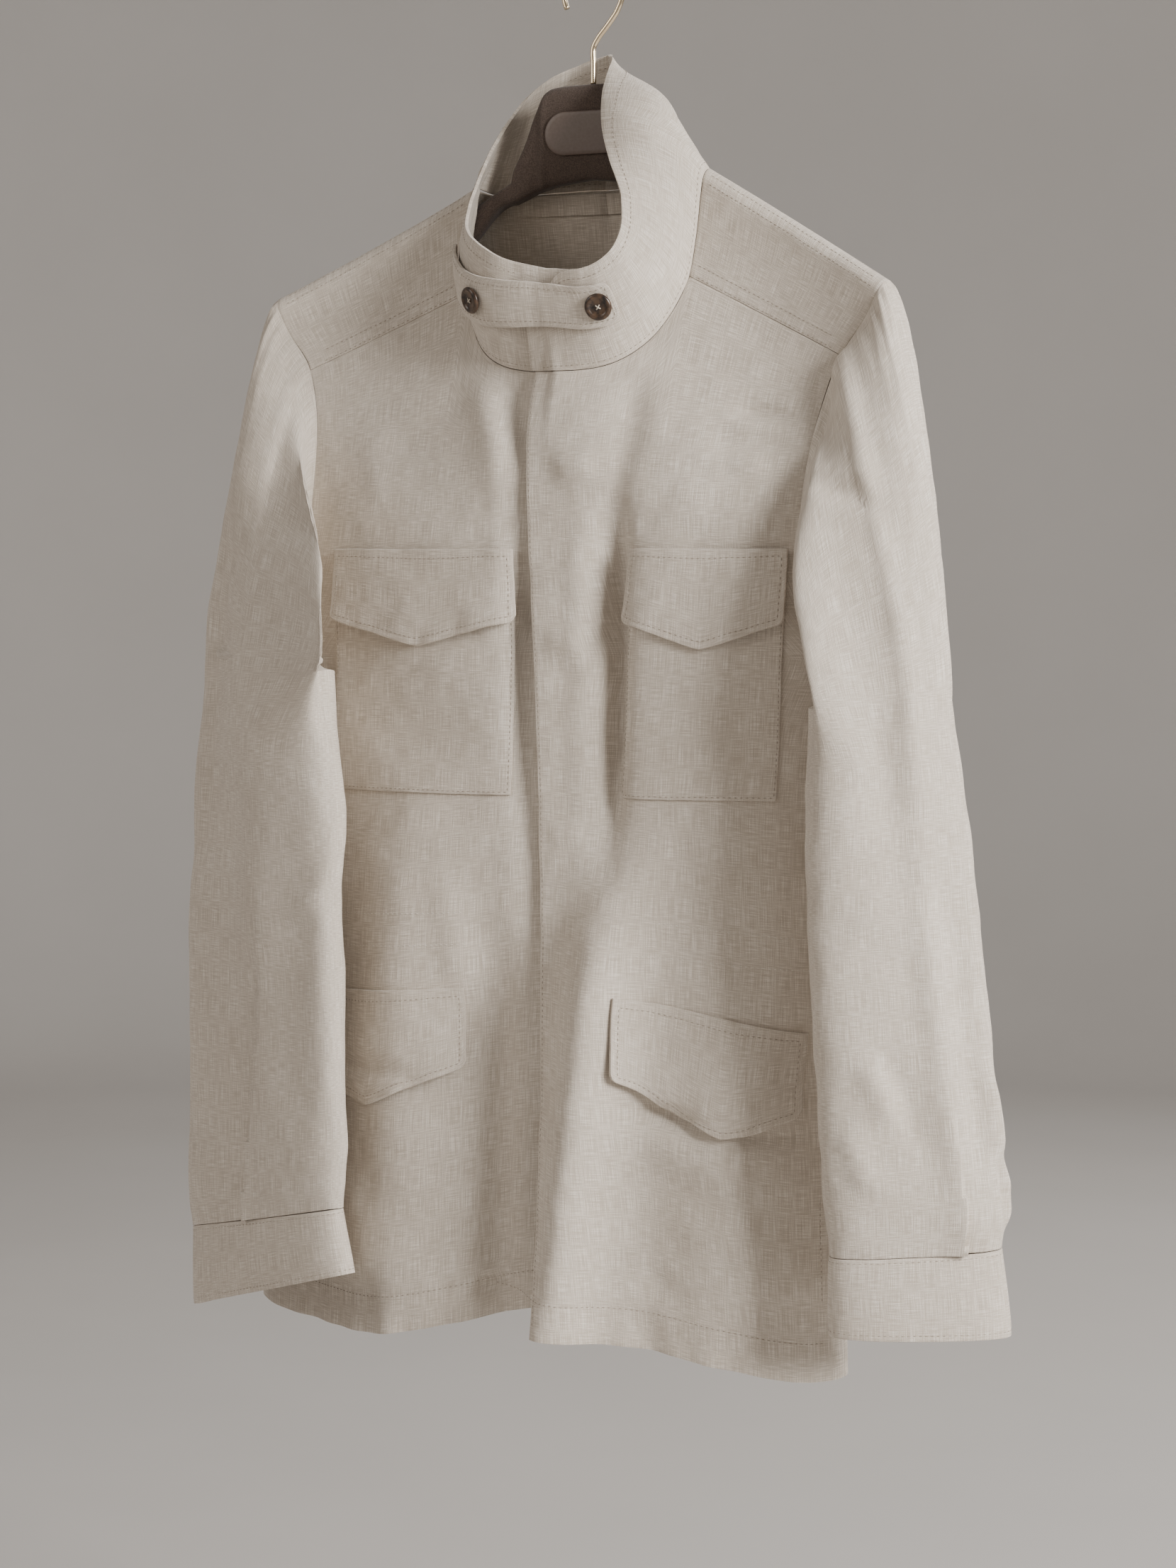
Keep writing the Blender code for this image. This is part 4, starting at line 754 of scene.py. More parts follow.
def ring_point(rings, at, turn):
    """Points on the flattened rings of a table; at runs over the rows."""
    rows = np.arange(len(rings))
    columns = [curve(at, rows, [ring[i] for ring in rings]) for i in range(7)]
    outer = np.stack(columns[0:3], -1)
    inner = np.stack(columns[3:6], -1)
    half = (outer - inner) / 2.0
    front = unit(np.stack([half[..., 1], -half[..., 0], np.zeros_like(half[..., 0])], -1))
    front = np.where(front[..., 1:2] > 0.0, -front, front)
    across = np.cos(2.0 * math.pi * turn)
    through = np.sin(2.0 * math.pi * turn)
    size = (np.abs(across) ** RING_POWER + np.abs(through) ** RING_POWER) ** (-1.0 / RING_POWER)
    return ((outer + inner) / 2.0 + half * (across * size)[..., None]
            + front * (columns[6] * through * size)[..., None])


def sleeve_point(side, turn, along):
    """Points of a sleeve; along 0 to 1 is the head, then one unit for each hanging ring."""
    turn, along = np.broadcast_arrays(np.asarray(turn, float), np.asarray(along, float))
    up = np.cos(2.0 * math.pi * turn)
    front = np.sin(2.0 * math.pi * turn)
    low = np.maximum(SWEEP_TOP - up, 0.0) / (SWEEP_TOP + 1.0)
    sweep = UNDERARM_SWEEP[side] * low * (1.0 - np.maximum(front, 0.0)) ** 2
    reach = FRONT_REACH[side] * REACH_LEVEL * np.maximum(front, 0.0) ** 2 * np.maximum(-up, 0.0)
    leave = np.stack([
        SIGN[side] * (HEAD_OUT - HEAD_OUT_TOP * up - HEAD_OUT_FRONT * np.maximum(front, 0.0)
                      + HEAD_SWEEP_SHARE * sweep),
        -(HEAD_FORWARD + HEAD_FORWARD_LOW * np.maximum(-up, 0.0)) * np.maximum(front, 0.0)
        + HEAD_BACKWARD * np.maximum(-front, 0.0),
        -HEAD_DOWN - HEAD_DOWN_TOP * up], -1)
    arrive = np.stack([SIGN[side] * (HANG_OUT - sweep), np.full_like(up, -HANG_FORWARD),
                       -HANG_DOWN - HANG_DOWN_TOP * up], -1)
    t = np.minimum(along, 1.0)[..., None]
    end = ring_point(SLEEVES[side], np.zeros_like(turn), turn)
    head = (armhole_point(side, turn) * (1 + 2 * t) * (1 - t) ** 2 + leave * t * (1 - t) ** 2
            + end * t * t * (3 - 2 * t) + arrive * t * t * (t - 1))
    fold = np.stack([-SIGN[side] * reach, -REACH_FORWARD * reach, 0.0 * reach], -1)
    hanging = ring_point(SLEEVES[side], np.maximum(along - 1.0, 0.0), turn)
    window = ease(t / REACH_RISE) * ease((REACH_END - along[..., None]) / REACH_FALL)
    return np.where(along[..., None] < 1.0, head, hanging) + fold * window


def sleeve_relief(side, turn, points, along):
    """Creases, pleat, gathers and fine unevenness of a sleeve, outwards."""
    z = points[..., 2]
    total = CRUMPLE * crumple(turn * SLEEVE_ROUND, z, SLEEVE_SEED[side])
    for turn0, z0, turn1, z1, spread, height in SLEEVE_CREASES[side]:
        share = (z - z0) / (z1 - z0)
        off = (turn - mix(turn0, turn1, share) + 0.5) % 1.0 - 0.5
        slant = math.hypot((turn1 - turn0) * SLEEVE_ROUND, z1 - z0) / abs(z1 - z0)
        window = ease(share / CREASE_FADE) * ease((1.0 - share) / CREASE_FADE)
        total = total + CREASE_LEVEL * height * window * np.exp(-(off * SLEEVE_ROUND / slant / spread) ** 2)
    place, drift, length = PLEAT[side]
    bottom = ring_point(SLEEVES[side], np.full_like(turn, len(SLEEVES[side]) - 1.0), turn)[..., 2]
    rise = np.clip((z - bottom) / length, 0.0, 1.0)
    off = ((turn - place - drift * rise + 0.5) % 1.0 - 0.5) * SLEEVE_ROUND
    lip = np.where(off > 0.0, np.exp(-off / PLEAT_WIDTH), -PLEAT_DIP * np.exp(off / PLEAT_DIP_WIDTH))
    total = total + PLEAT_LIP * lip * (1.0 - rise)
    head = np.minimum(along, 1.0)
    top = ease((np.cos(2.0 * math.pi * turn) + GATHER_LOW) / GATHER_SPREAD)
    sway = GATHER_SWAY[0] * np.sin(GATHER_SWAY[1] * turn)
    gathers = np.exp(-head * HEAD_LENGTH / GATHER_REACH) * top
    total = total + GATHER * gathers * np.sin(2.0 * math.pi * GATHER_COUNT * turn + sway)
    return total * ease(head / SEAM_FADE)


def seam_place(panel, x, z):
    """Foot of the collar wall, moved into the neck opening by the seam clearance."""
    point = body_point(panel, x, z)
    rise = np.abs(x) + BACK_FOOT_RISE if panel == "back" else NECK_AXIS_Z - z
    lean = np.stack([-x, np.zeros_like(x), rise], -1)
    return point + unit(lean) * NECK_CLEAR


def collar_feet(side):
    """Neck seam points of one side from the centre front to the centre back, and their shares."""
    sign = SIGN[side]
    front = sign * np.linspace(0.0, YOKE_NECK_X - FEET_FRONT_END, FEET_STEPS[0])
    shared = seam_place("left", front, neck_z(front))
    own = seam_place(side, front, neck_z(front))
    start = np.where((front > FRONT_SHARED_X)[:, None], shared, own) if side == "right" else own
    step = np.linspace(1.0, 0.0, FEET_STEPS[1]) ** 2
    x = sign * mix(NECK_HALF, YOKE_NECK_X, step)
    yoke = seam_place(side, x, mix(shoulder_z(x), yoke_seam_z(side, x), step))
    x = sign * np.linspace(NECK_HALF - FEET_BACK_START, 0.0, FEET_STEPS[2])
    back = seam_place("back", x, back_neck_z(x))
    places = np.concatenate([start, yoke, back])
    lengths = running_length(places)
    return places, lengths / lengths[-1]


FEET = {side: collar_feet(side) for side in SIGN}


def collar_side(side, share, rise):
    """Points on the collar wall of one side: rise 0 is the neck seam and 1 the top edge."""
    places, shares = FEET[side]
    rows = COLLAR[side]
    knots = [row[0] for row in rows]

    def top_at(at):
        return np.stack([curve(at, knots, [row[i] for row in rows]) for i in (1, 2, 3)], -1)

    foot = np.stack([curve(share, shares, places[:, i]) for i in range(3)], -1)
    chord = top_at(share) - foot
    bulge = curve(share, knots, [row[4] for row in rows])
    along = top_at(np.minimum(share + TOP_STEP, 1.0)) - top_at(np.maximum(share - TOP_STEP, 0.0))
    normal = SIGN[side] * unit(np.cross(along, chord))
    uneven = COLLAR_CRUMPLE * crumple(SIGN[side] * share * COLLAR_LENGTH, rise * COLLAR_HEIGHT, COLLAR_SEED)
    low, back = COLLAR_CRUMPLE_FADE
    uneven = uneven * ease(rise / low) * ease((1.0 - share) / back)
    out = 4.0 * bulge * rise * (1.0 - rise) + uneven
    return foot + chord * rise[..., None] + normal * out[..., None]


def collar_point(place, rise):
    """Points on the collar wall; place is the share from front to back, negative on the right."""
    place, rise = np.broadcast_arrays(np.asarray(place, float), np.asarray(rise, float))
    left = collar_side("left", np.maximum(place, 0.0), rise)
    right = collar_side("right", np.maximum(-place, 0.0), rise)
    return np.where((place >= 0.0)[..., None], left, right)


def collar_face(place, rise, out):
    """Points outside the collar wall by a distance."""
    place, rise = np.broadcast_arrays(np.asarray(place, float), np.asarray(rise, float))
    across = collar_point(place + NORMAL_STEP, rise) - collar_point(place - NORMAL_STEP, rise)
    upward = collar_point(place, rise + NORMAL_STEP) - collar_point(place, rise - NORMAL_STEP)
    normal = unit(np.cross(across, upward))
    points = collar_point(place, rise)
    inward = np.sum(normal * (points - np.array(NECK_INSIDE)), -1, keepdims=True) < 0.0
    return points + np.where(inward, -normal, normal) * np.asarray(out)[..., None]


def corner_rise(x):
    """Height left over of the collar wall at its rounded left front corner."""
    start, end = COLLAR_CORNER
    return 1.0 - COLLAR_END_CUT * ease((start - x) / (start - end)) ** COLLAR_CORNER_POWER


def tab_low(place):
    end = np.where(place >= 0.0, TAB_LEFT_SHARE, TAB_RIGHT_SHARE)
    side = np.where(place >= 0.0, TAB_LOW["left"], TAB_LOW["right"])
    return mix(TAB_LOW["middle"], side, ease(np.abs(place) / end))


def tab_point(place, height, out):
    """Points of the throat tab; height goes from 0 to 1."""
    place, height = np.broadcast_arrays(np.asarray(place, float), np.asarray(height, float))
    return collar_face(place, tab_low(place) + TAB_HEIGHT_SHARE * height, out)


def tab_face(place, height, extra):
    return tab_point(place, height, TAB_FACE + extra)


def front_grid(side, columns=104, upper=46, lower=168):
    """Points over a front panel, from the neck and yoke seams down to the hem."""
    share = 1.0 - (1.0 - np.linspace(0.0, 1.0, columns)) ** FRONT_CROWD
    rows = []
    for lift in np.linspace(1.0, 0.0, upper)[:-1]:
        inner = edge_x(FIXED_TOP) if side == "left" else RIGHT_EDGE_X
        end_z = mix(FIXED_TOP, YOKE_END_Z, lift)
        x = mix(inner, side_x(side, "front", end_z), share)
        rows.append((x, mix(FIXED_TOP, front_top_z(side, x) - GAP, lift)))
    for step in np.linspace(0.0, 1.0, lower):
        z = np.full_like(share, mix(FIXED_TOP, HEM, step))
        for _ in range(2):
            inner = edge_x(z) if side == "left" else RIGHT_EDGE_X
            x = mix(inner, side_x(side, "front", z), share)
            z = mix(FIXED_TOP, hem_z(side, x), step)
        rows.append((x, z))
    x, z = np.moveaxis(np.array(rows), 1, 0)
    return body_point(side, x, z)


def back_grid(columns=170, upper=52, lower=150):
    """Points over the back panel, from the shoulder and neck seams down to the hem."""
    half = np.linspace(-1.0, 1.0, columns)
    share = 1.0 - (1.0 - np.abs(half)) ** BACK_CROWD
    rows = []
    for step in np.linspace(0.0, 1.0, upper)[:-1]:
        drop = step ** BACK_TOP_CROWD
        ends = {side: armhole_x(side, "back", mix(SHOULDER[side]["tip"], FIXED_TOP, drop)) for side in SIGN}
        x = np.where(half > 0.0, ends["left"], ends["right"]) * share
        top = np.where(np.abs(x) > NECK_HALF, shoulder_z(x), back_neck_z(x))
        rows.append((x, mix(top, FIXED_TOP, drop)))
    for step in np.linspace(0.0, 1.0, lower):
        z = np.full_like(share, mix(FIXED_TOP, HEM, step))
        for _ in range(2):
            x = np.where(half > 0.0, side_x("left", "back", z), side_x("right", "back", z)) * share
            z = mix(FIXED_TOP, hem_z("back", x), step)
        rows.append((x, z))
    x, z = np.moveaxis(np.array(rows), 1, 0)
    return body_point("back", x, z)


def yoke_grid(side, columns=70, rows=44):
    share = np.linspace(0.0, 1.0, columns)
    step = np.linspace(0.0, 1.0, rows)[:, None] ** 2
    start = SIGN[side] * mix(NECK_HALF, YOKE_NECK_X, step)
    end = armhole_x(side, "front", mix(SHOULDER[side]["tip"], YOKE_END_Z, step))
    x = mix(start, end, share)
    return body_point(side, x, mix(shoulder_z(x), yoke_seam_z(side, x), step))


def sleeve_grid(side, around=144, head=60, hanging=96):
    """Points over a sleeve with its creases, from the armhole to the cuff seam."""
    turn = turn_row(around)
    top = np.linspace(0.0, 1.0, head)[:-1] ** HEAD_CROWD
    along = np.concatenate([top, np.linspace(1.0, len(SLEEVES[side]), hanging)])[:, None]
    points = sleeve_point(side, turn, along)
    turn, along = np.broadcast_arrays(turn, along)
    round_way = np.roll(points, -1, 1) - np.roll(points, 1, 1)
    down_way = np.gradient(points, axis=0)
    normal = np.cross(round_way, down_way)
    normal /= np.maximum(np.linalg.norm(normal, axis=-1, keepdims=True), 1e-9)
    outward = points - points.mean(1, keepdims=True)
    normal = np.where(np.sum(normal * outward, -1).sum() < 0.0, -normal, normal)
    return points + normal * sleeve_relief(side, turn, points, along)[..., None]


def cuff_point(side, turn, at, extra=0.0):
    points = ring_point(CUFFS[side], at, turn)
    middle = (ring_point(CUFFS[side], at, turn + 0.5) + points) / 2.0
    uneven = CUFF_CRUMPLE * crumple(turn * SLEEVE_ROUND, at * CUFF_ROW, CUFF_SEED[side])
    return points + unit(points - middle) * (uneven + extra)[..., None]


def cuff_grid(side, around=144, rows=20):
    turn = turn_row(around)
    at = np.linspace(0.0, len(CUFFS[side]) - 1.0, rows)[:, None]
    turn, at = np.broadcast_arrays(turn, at)
    return cuff_point(side, turn, at)


def flap_point(side, across, flap, out, share, down, extra=0.0):
    """Points of a pointed flap: share goes across it and down from its seam to its edge."""
    share, down = np.broadcast_arrays(np.asarray(share, float), np.asarray(down, float))
    width = abs(across[1] - across[0])
    tip = flap["tip"]
    peak = np.minimum(share / tip, (1.0 - share) / (1.0 - tip))
    peak = peak - FLAP_TIP_ROUND * np.exp(-((1.0 - peak) / FLAP_TIP_SPREAD) ** 2)
    corner = np.clip(1.0 - np.minimum(share, 1.0 - share) * width / FLAP_ROUND, 0.0, 1.0)
    depth = flap["height"] + flap["point"] * peak - FLAP_ROUND * (1.0 - np.sqrt(1.0 - corner ** 2))
    z = flap["top"] - flap["fall"] * share - depth * down
    x = grain_x(side, mix(across[0], across[1], share), z)
    uneven = FLAP_UNEVEN * crumple(x * FLAP_UNEVEN_SCALE, z, FLAP_SEED[side])
    return body_point(side, x, z, out + FLAP_LIFT * down ** 2 * (1.0 + uneven) + extra)


def flaps_of(side):
    """Node, span, shape and distance from the cloth of the two flaps of one side."""
    return (("chest_flap_" + side, CHEST[side], CHEST_FLAP, CHEST_FLAP_OUT),
            ("lower_flap_" + side, LOWER[side], LOWER_FLAP[side], LOWER_FLAP_OUT))


def pocket_point(side, share, down, extra=0.0):
    """Points of a chest pocket: share goes across it and down from its top to its bottom."""
    z = mix(CHEST_POCKET_TOP, CHEST_POCKET_BOTTOM, np.asarray(down, float))
    x = grain_x(side, mix(*CHEST[side], np.asarray(share, float)), z)
    return body_point(side, x, z, LAYER + extra)


def unit_grid(columns, rows):
    return np.meshgrid(np.linspace(0.0, 1.0, columns), np.linspace(0.0, 1.0, rows))


def collar_path(steps=96):
    """Collar columns from its hidden right end round the back to the left end on top."""
    under = np.concatenate([np.linspace(COLLAR_UNDER, 0.0, COLLAR_END_STEPS)[:-1],
                            -np.linspace(0.0, 1.0, steps)])
    over = np.concatenate([np.linspace(1.0, 0.0, steps)[1:],
                           -np.linspace(0.0, COLLAR_OVER, COLLAR_END_STEPS)[1:]])
    feet = collar_point(under, np.zeros_like(under))
    behind = np.where(under > 0.0, UNDERLAP, underlap(feet[:, 0], feet[:, 2]))
    feet = collar_point(over, np.zeros_like(over))
    cut = np.where(over < COLLAR_CORNER_SHARE, corner_rise(feet[:, 0]), 1.0)
    cut = np.where(over < 0.0, corner_rise(over * COLLAR_OVER_X), cut)
    place = np.concatenate([under, over])
    return place, np.concatenate([behind, 0.0 * over]), np.concatenate([1.0 + 0.0 * under, cut])


def collar_grid(rows=38):
    place, behind, cut = collar_path()
    rise = np.linspace(0.0, 1.0, rows)[:, None] * cut
    points = collar_point(place[None, :], rise)
    points[..., 1] += behind
    return points


def tab_grid(columns=84, rows=22):
    share, height = unit_grid(columns, rows)
    corner = TAB_ROUND * np.abs(2.0 * height - 1.0) ** TAB_ROUND_POWER
    place = mix(-TAB_RIGHT_SHARE + corner, TAB_LEFT_SHARE - corner * TAB_ROUND_LEFT, share)
    return tab_point(place, height, TAB_FACE)


def hanger_heights(x):
    """Top and bottom of the hanger: the middle block, then the arm under the shoulder."""
    reach = HANGER_BLOCK["x"][-1]
    block = [curve(np.abs(x), HANGER_BLOCK["x"], HANGER_BLOCK[edge]) for edge in ("top", "bottom")]
    rising = ease((np.abs(x) - NECK_HALF) / HANGER_BLEND)
    top = shoulder_z(x) - mix(HANGER_NECK_CLEAR, HANGER_CLEAR, rising)
    share = ease((np.abs(x) - reach) / HANGER_BLEND)
    arm_top = mix(np.minimum(HANGER_BLOCK["top"][-1], top), top, share)
    arm_bottom = mix(HANGER_BLOCK["bottom"][-1], top - HANGER_ARM_HEIGHT, share)
    inside = np.abs(x) <= reach
    return np.where(inside, block[0], arm_top), np.where(inside, block[1], arm_bottom)


def hanger_grid(rows=260, around=64):
    x = np.linspace(-HANGER_REACH, HANGER_REACH, rows)[:, None]
    turn = 2.0 * math.pi * turn_row(around)
    top, bottom = hanger_heights(x)
    arm = ease((np.abs(x) - HANGER_BLOCK["x"][-2]) / HANGER_BLEND)
    power = mix(*HANGER_POWERS, arm)
    size = (np.abs(np.cos(turn)) ** power + np.abs(np.sin(turn)) ** power) ** (-1.0 / power)
    ends = mix(1.0, HANGER_END_SHARE, ease((np.abs(x) - HANGER_REACH + HANGER_END) / HANGER_END))
    half = mix(HANGER_HALF, HANGER_ARM_HALF, arm) * ends
    rib = HANGER_RIB * np.exp(-((np.abs(x) - HANGER_RIB_X) / HANGER_RIB_WIDTH) ** 2)
    dish = -HANGER_DISH * ease((np.abs(x) - HANGER_RIB_X) / HANGER_DISH_SPREAD) * (1.0 - arm)
    half = half + rib + dish
    y = arm_y(x) - half * np.cos(turn) * size
    z = (top + bottom) / 2.0 + (top - bottom) / 2.0 * ends * np.sin(turn) * size
    rings = np.stack(np.broadcast_arrays(x, y, z), -1)
    start, end = (np.broadcast_to(ring.mean(0), ring.shape) for ring in (rings[0], rings[-1]))
    return np.concatenate([start[None], rings, end[None]])


def tube_grid(route, radius, around=20):
    """Points round a wire that follows a route in the XZ plane, closed at both ends."""
    route = np.array(route, float)
    along = unit(np.gradient(route, axis=0))
    side = np.stack([along[:, 2], 0.0 * along[:, 0], -along[:, 0]], -1)
    turn = 2.0 * math.pi * np.arange(around) / around
    shape = radius * (np.cos(turn)[None, :, None] * side[:, None, :]
                      + np.sin(turn)[None, :, None] * np.array([0.0, 1.0, 0.0]))
    rings = route[:, None, :] + shape
    start = route[:1, None, :] + 0.0 * shape[:1]
    end = route[-1:, None, :] + 0.0 * shape[-1:]
    return np.concatenate([start, rings, end])


def hook_route(bend_steps=72, steps=150):
    """Middle line of the wire, from the block up the stem and round the bend."""
    bend = HOOK_INNER + WIRE_RADIUS
    stem = [(0.0, HANGER_BLOCK["top"][0] + GAP)] + list(HOOK_STEM)
    angles = np.radians(np.linspace(HOOK_START, HOOK_END, bend_steps))
    stem += [(bend * math.cos(a), bend * math.sin(a) - HOOK_INNER) for a in angles]
    stem = np.array(stem)
    length = running_length(stem)
    at = np.linspace(0.0, length[-1], steps)
    x = curve(at, length, stem[:, 0])
    z = curve(at, length, stem[:, 1])
    return np.stack([x, 0.0 * x, z], -1)


def lathe_grid(profile, around=56):
    """Points of a turned shape from a profile of radius and height."""
    turn = 2.0 * math.pi * turn_row(around)
    radius = np.array([spot[0] for spot in profile])[:, None]
    height = np.array([spot[1] for spot in profile])[:, None]
    return np.stack(np.broadcast_arrays(radius * np.cos(turn), radius * np.sin(turn), height), -1)


def plate_grid():
    """Points of the blank plate: a flat shape with round ends and a soft edge."""
    radius = PLATE_HEIGHT / 2.0
    turn = 2.0 * math.pi * turn_row(PLATE_POINTS)
    size = np.array([row[0] for row in PLATE_SHAPE])[:, None]
    height = np.array([row[1] for row in PLATE_SHAPE])[:, None] * PLATE_THICK
    straight = np.clip(np.cos(turn) * PLATE_TURN, -1.0, 1.0) * (PLATE_LENGTH / 2.0 - radius)
    x = straight * np.minimum(size * PLATE_SPREAD, 1.0) + radius * np.cos(turn) * size
    y = -HANGER_HALF - HANGER_RIB * PLATE_SINK - height
    return np.stack(np.broadcast_arrays(x, y, PLATE_Z + radius * np.sin(turn) * size), -1)


def room_grid(steps=14):
    """Points of the room: its floor, the bend and the wall."""
    profile = [(FLOOR_HOLE, FLOOR_Z)]
    for angle in np.linspace(0.0, math.pi / 2.0, steps):
        profile.append((ROOM_RADIUS - ROOM_BEND + ROOM_BEND * math.sin(angle),
                        FLOOR_Z + ROOM_BEND * (1.0 - math.cos(angle))))
    profile.append((ROOM_RADIUS, FLOOR_Z + ROOM_HEIGHT))
    return lathe_grid(profile, ROOM_POINTS)


def add_object(name, data):
    item = bpy.data.objects.new(name, data)
    bpy.context.scene.collection.objects.link(item)
    return item


def add_mesh(name, points, material, closed=False, inside=None):
    """Object over a grid of points, rows by columns, whose UV map is in metres of cloth."""
    rows, columns = points.shape[:2]
    loop = np.concatenate([points, points[:, :1]], 1) if closed else points
    u = np.concatenate([[0.0], np.cumsum(np.linalg.norm(np.diff(loop, axis=1), axis=-1).mean(0))])
    v = np.concatenate([[0.0], np.cumsum(np.linalg.norm(np.diff(points, axis=0), axis=-1).mean(1))])
    r, c = np.meshgrid(np.arange(rows - 1), np.arange(loop.shape[1] - 1), indexing="ij")
    corners = ((0, 0), (1, 0), (1, 1), (0, 1))
    if inside is not None:
        way = np.cross(loop[1:, :-1] - loop[:-1, :-1], loop[:-1, 1:] - loop[:-1, :-1])
        if np.sum(way * (loop[:-1, :-1] - np.asarray(inside, float))) > 0.0:
            corners = ((0, 0), (0, 1), (1, 1), (1, 0))
    faces = np.stack([(r + b) * columns + (c + a) % columns for a, b in corners], -1)
    uv = np.stack([np.stack([u[c + a], v[r + b]], -1) for a, b in corners], -2)
    mesh = bpy.data.meshes.new(name)
    mesh.from_pydata(points.reshape(-1, 3).tolist(), [], faces.reshape(-1, 4).tolist())
    mesh.uv_layers.new(name="cloth").data.foreach_set("uv", uv.reshape(-1))
    mesh.shade_smooth()
    mesh.materials.append(material)
    return add_object(name, mesh)


def cloth(node, points, inside, thick=CLOTH, closed=False, edge=CLOTH_EDGE):
    """Cloth of one piece: its points are the outer face and the thickness goes inwards."""
    item = add_mesh(node + "_cloth", points, linen, closed, inside)
    wall = item.modifiers.new("Wall", "SOLIDIFY")
    wall.thickness = thick
    wall.offset = -1.0
    soft = item.modifiers.new("Edge", "BEVEL")
    soft.width = edge
    soft.segments = 2
    soft.limit_method = "ANGLE"
    soft.angle_limit = math.radians(EDGE_ANGLE)
    own(item, "linen", node)


def own(item, slot, *nodes):
    """Ties a piece to the part's body and hides the solids it stands for; the slot is not used."""
    if nodes:
        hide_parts(*nodes)
    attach(item, "root")
    return item


def plain_material(name, colour, roughness, metallic=0.0, sheen=0.0):
    material = bpy.data.materials.new(name)
    material.use_nodes = True
    shader = material.node_tree.nodes["Principled BSDF"]
    shader.inputs["Base Color"].default_value = (*colour, 1.0)
    shader.inputs["Roughness"].default_value = roughness
    shader.inputs["Metallic"].default_value = metallic
    shader.inputs["Sheen Weight"].default_value = sheen
    return material, shader


def pattern(tree, source, scale, detail=2.0):
    """Noise stretched by a scale, from a coordinate output."""
    place = tree.nodes.new("ShaderNodeMapping")
    place.inputs["Scale"].default_value = scale
    noise = tree.nodes.new("ShaderNodeTexNoise")
    noise.inputs["Scale"].default_value = 1.0
    noise.inputs["Detail"].default_value = detail
    tree.links.new(source, place.inputs["Vector"])
    tree.links.new(place.outputs["Vector"], noise.inputs["Vector"])
    return noise.outputs["Fac"]


def combine(tree, first, second, share):
    """First value plus a share of the second."""
    node = tree.nodes.new("ShaderNodeMath")
    node.operation = "MULTIPLY_ADD"
    node.inputs[1].default_value = share
    tree.links.new(second, node.inputs[0])
    tree.links.new(first, node.inputs[2])
    return node.outputs[0]


def ramp(tree, value, stops):
    """Colours over a value: position and colour of each stop."""
    node = tree.nodes.new("ShaderNodeValToRGB")
    while len(node.color_ramp.elements) < len(stops):
        node.color_ramp.elements.new(0.5)
    for element, (position, colour) in zip(node.color_ramp.elements, stops):
        element.position = position
        element.color = (*colour, 1.0)
    tree.links.new(value, node.inputs[0])
    return node.outputs["Color"]


def bump(tree, shader, height, strength, distance):
    node = tree.nodes.new("ShaderNodeBump")
    node.inputs["Strength"].default_value = strength
    node.inputs["Distance"].default_value = distance
    tree.links.new(height, node.inputs["Height"])
    tree.links.new(node.outputs["Normal"], shader.inputs["Normal"])


def linen_material(name):
    """Plain weave with slubs both ways, from lengths of cloth in metres."""
    material, shader = plain_material(name, LINEN_MIDDLE, LINEN_ROUGHNESS, sheen=LINEN_SHEEN)
    shader.inputs["Sheen Roughness"].default_value = LINEN_SHEEN_ROUGHNESS
    shader.inputs["Specular IOR Level"].default_value = LINEN_SPECULAR
    tree = material.node_tree
    uv = tree.nodes.new("ShaderNodeUVMap")
    uv.uv_map = "cloth"
    weft = pattern(tree, uv.outputs["UV"], WEFT_SCALE)
    warp = pattern(tree, uv.outputs["UV"], WARP_SCALE)
    grain = pattern(tree, uv.outputs["UV"], GRAIN_SCALE, 1.0)
    broad = pattern(tree, uv.outputs["UV"], BROAD_SCALE, 3.0)
    slubs = combine(tree, weft, warp, 1.0)
    tone = combine(tree, combine(tree, slubs, broad, BROAD_SHARE), grain, GRAIN_SHARE)
    colour = ramp(tree, tone_share(tree, tone), LINEN_STOPS)
    tree.links.new(colour, shader.inputs["Base Color"])
    bump(tree, shader, combine(tree, slubs, grain, GRAIN_RELIEF), WEAVE_STRENGTH, WEAVE_RELIEF)
    return material


def tone_share(tree, value):
    """Brings a sum of noises back to the range of a ramp."""
    node = tree.nodes.new("ShaderNodeMapRange")
    node.inputs["From Min"].default_value = TONE_RANGE[0]
    node.inputs["From Max"].default_value = TONE_RANGE[1]
    tree.links.new(value, node.inputs["Value"])
    return node.outputs["Result"]


def speckled_material(name, dark, light, scale, roughness, metallic=0.0, sheen=0.0, relief=0.0):
    """Material whose colour and surface vary with a fine noise in the object's own space."""
    material, shader = plain_material(name, dark, roughness, metallic, sheen)
    tree = material.node_tree
    place = tree.nodes.new("ShaderNodeTexCoord")
    value = pattern(tree, place.outputs["Object"], (scale, scale, scale), 4.0)
    tree.links.new(ramp(tree, value, tuple(zip(SPECKLE_STOPS, (dark, light)))), shader.inputs["Base Color"])
    if relief > 0.0:
        bump(tree, shader, value, SPECKLE_STRENGTH, relief)
    return material


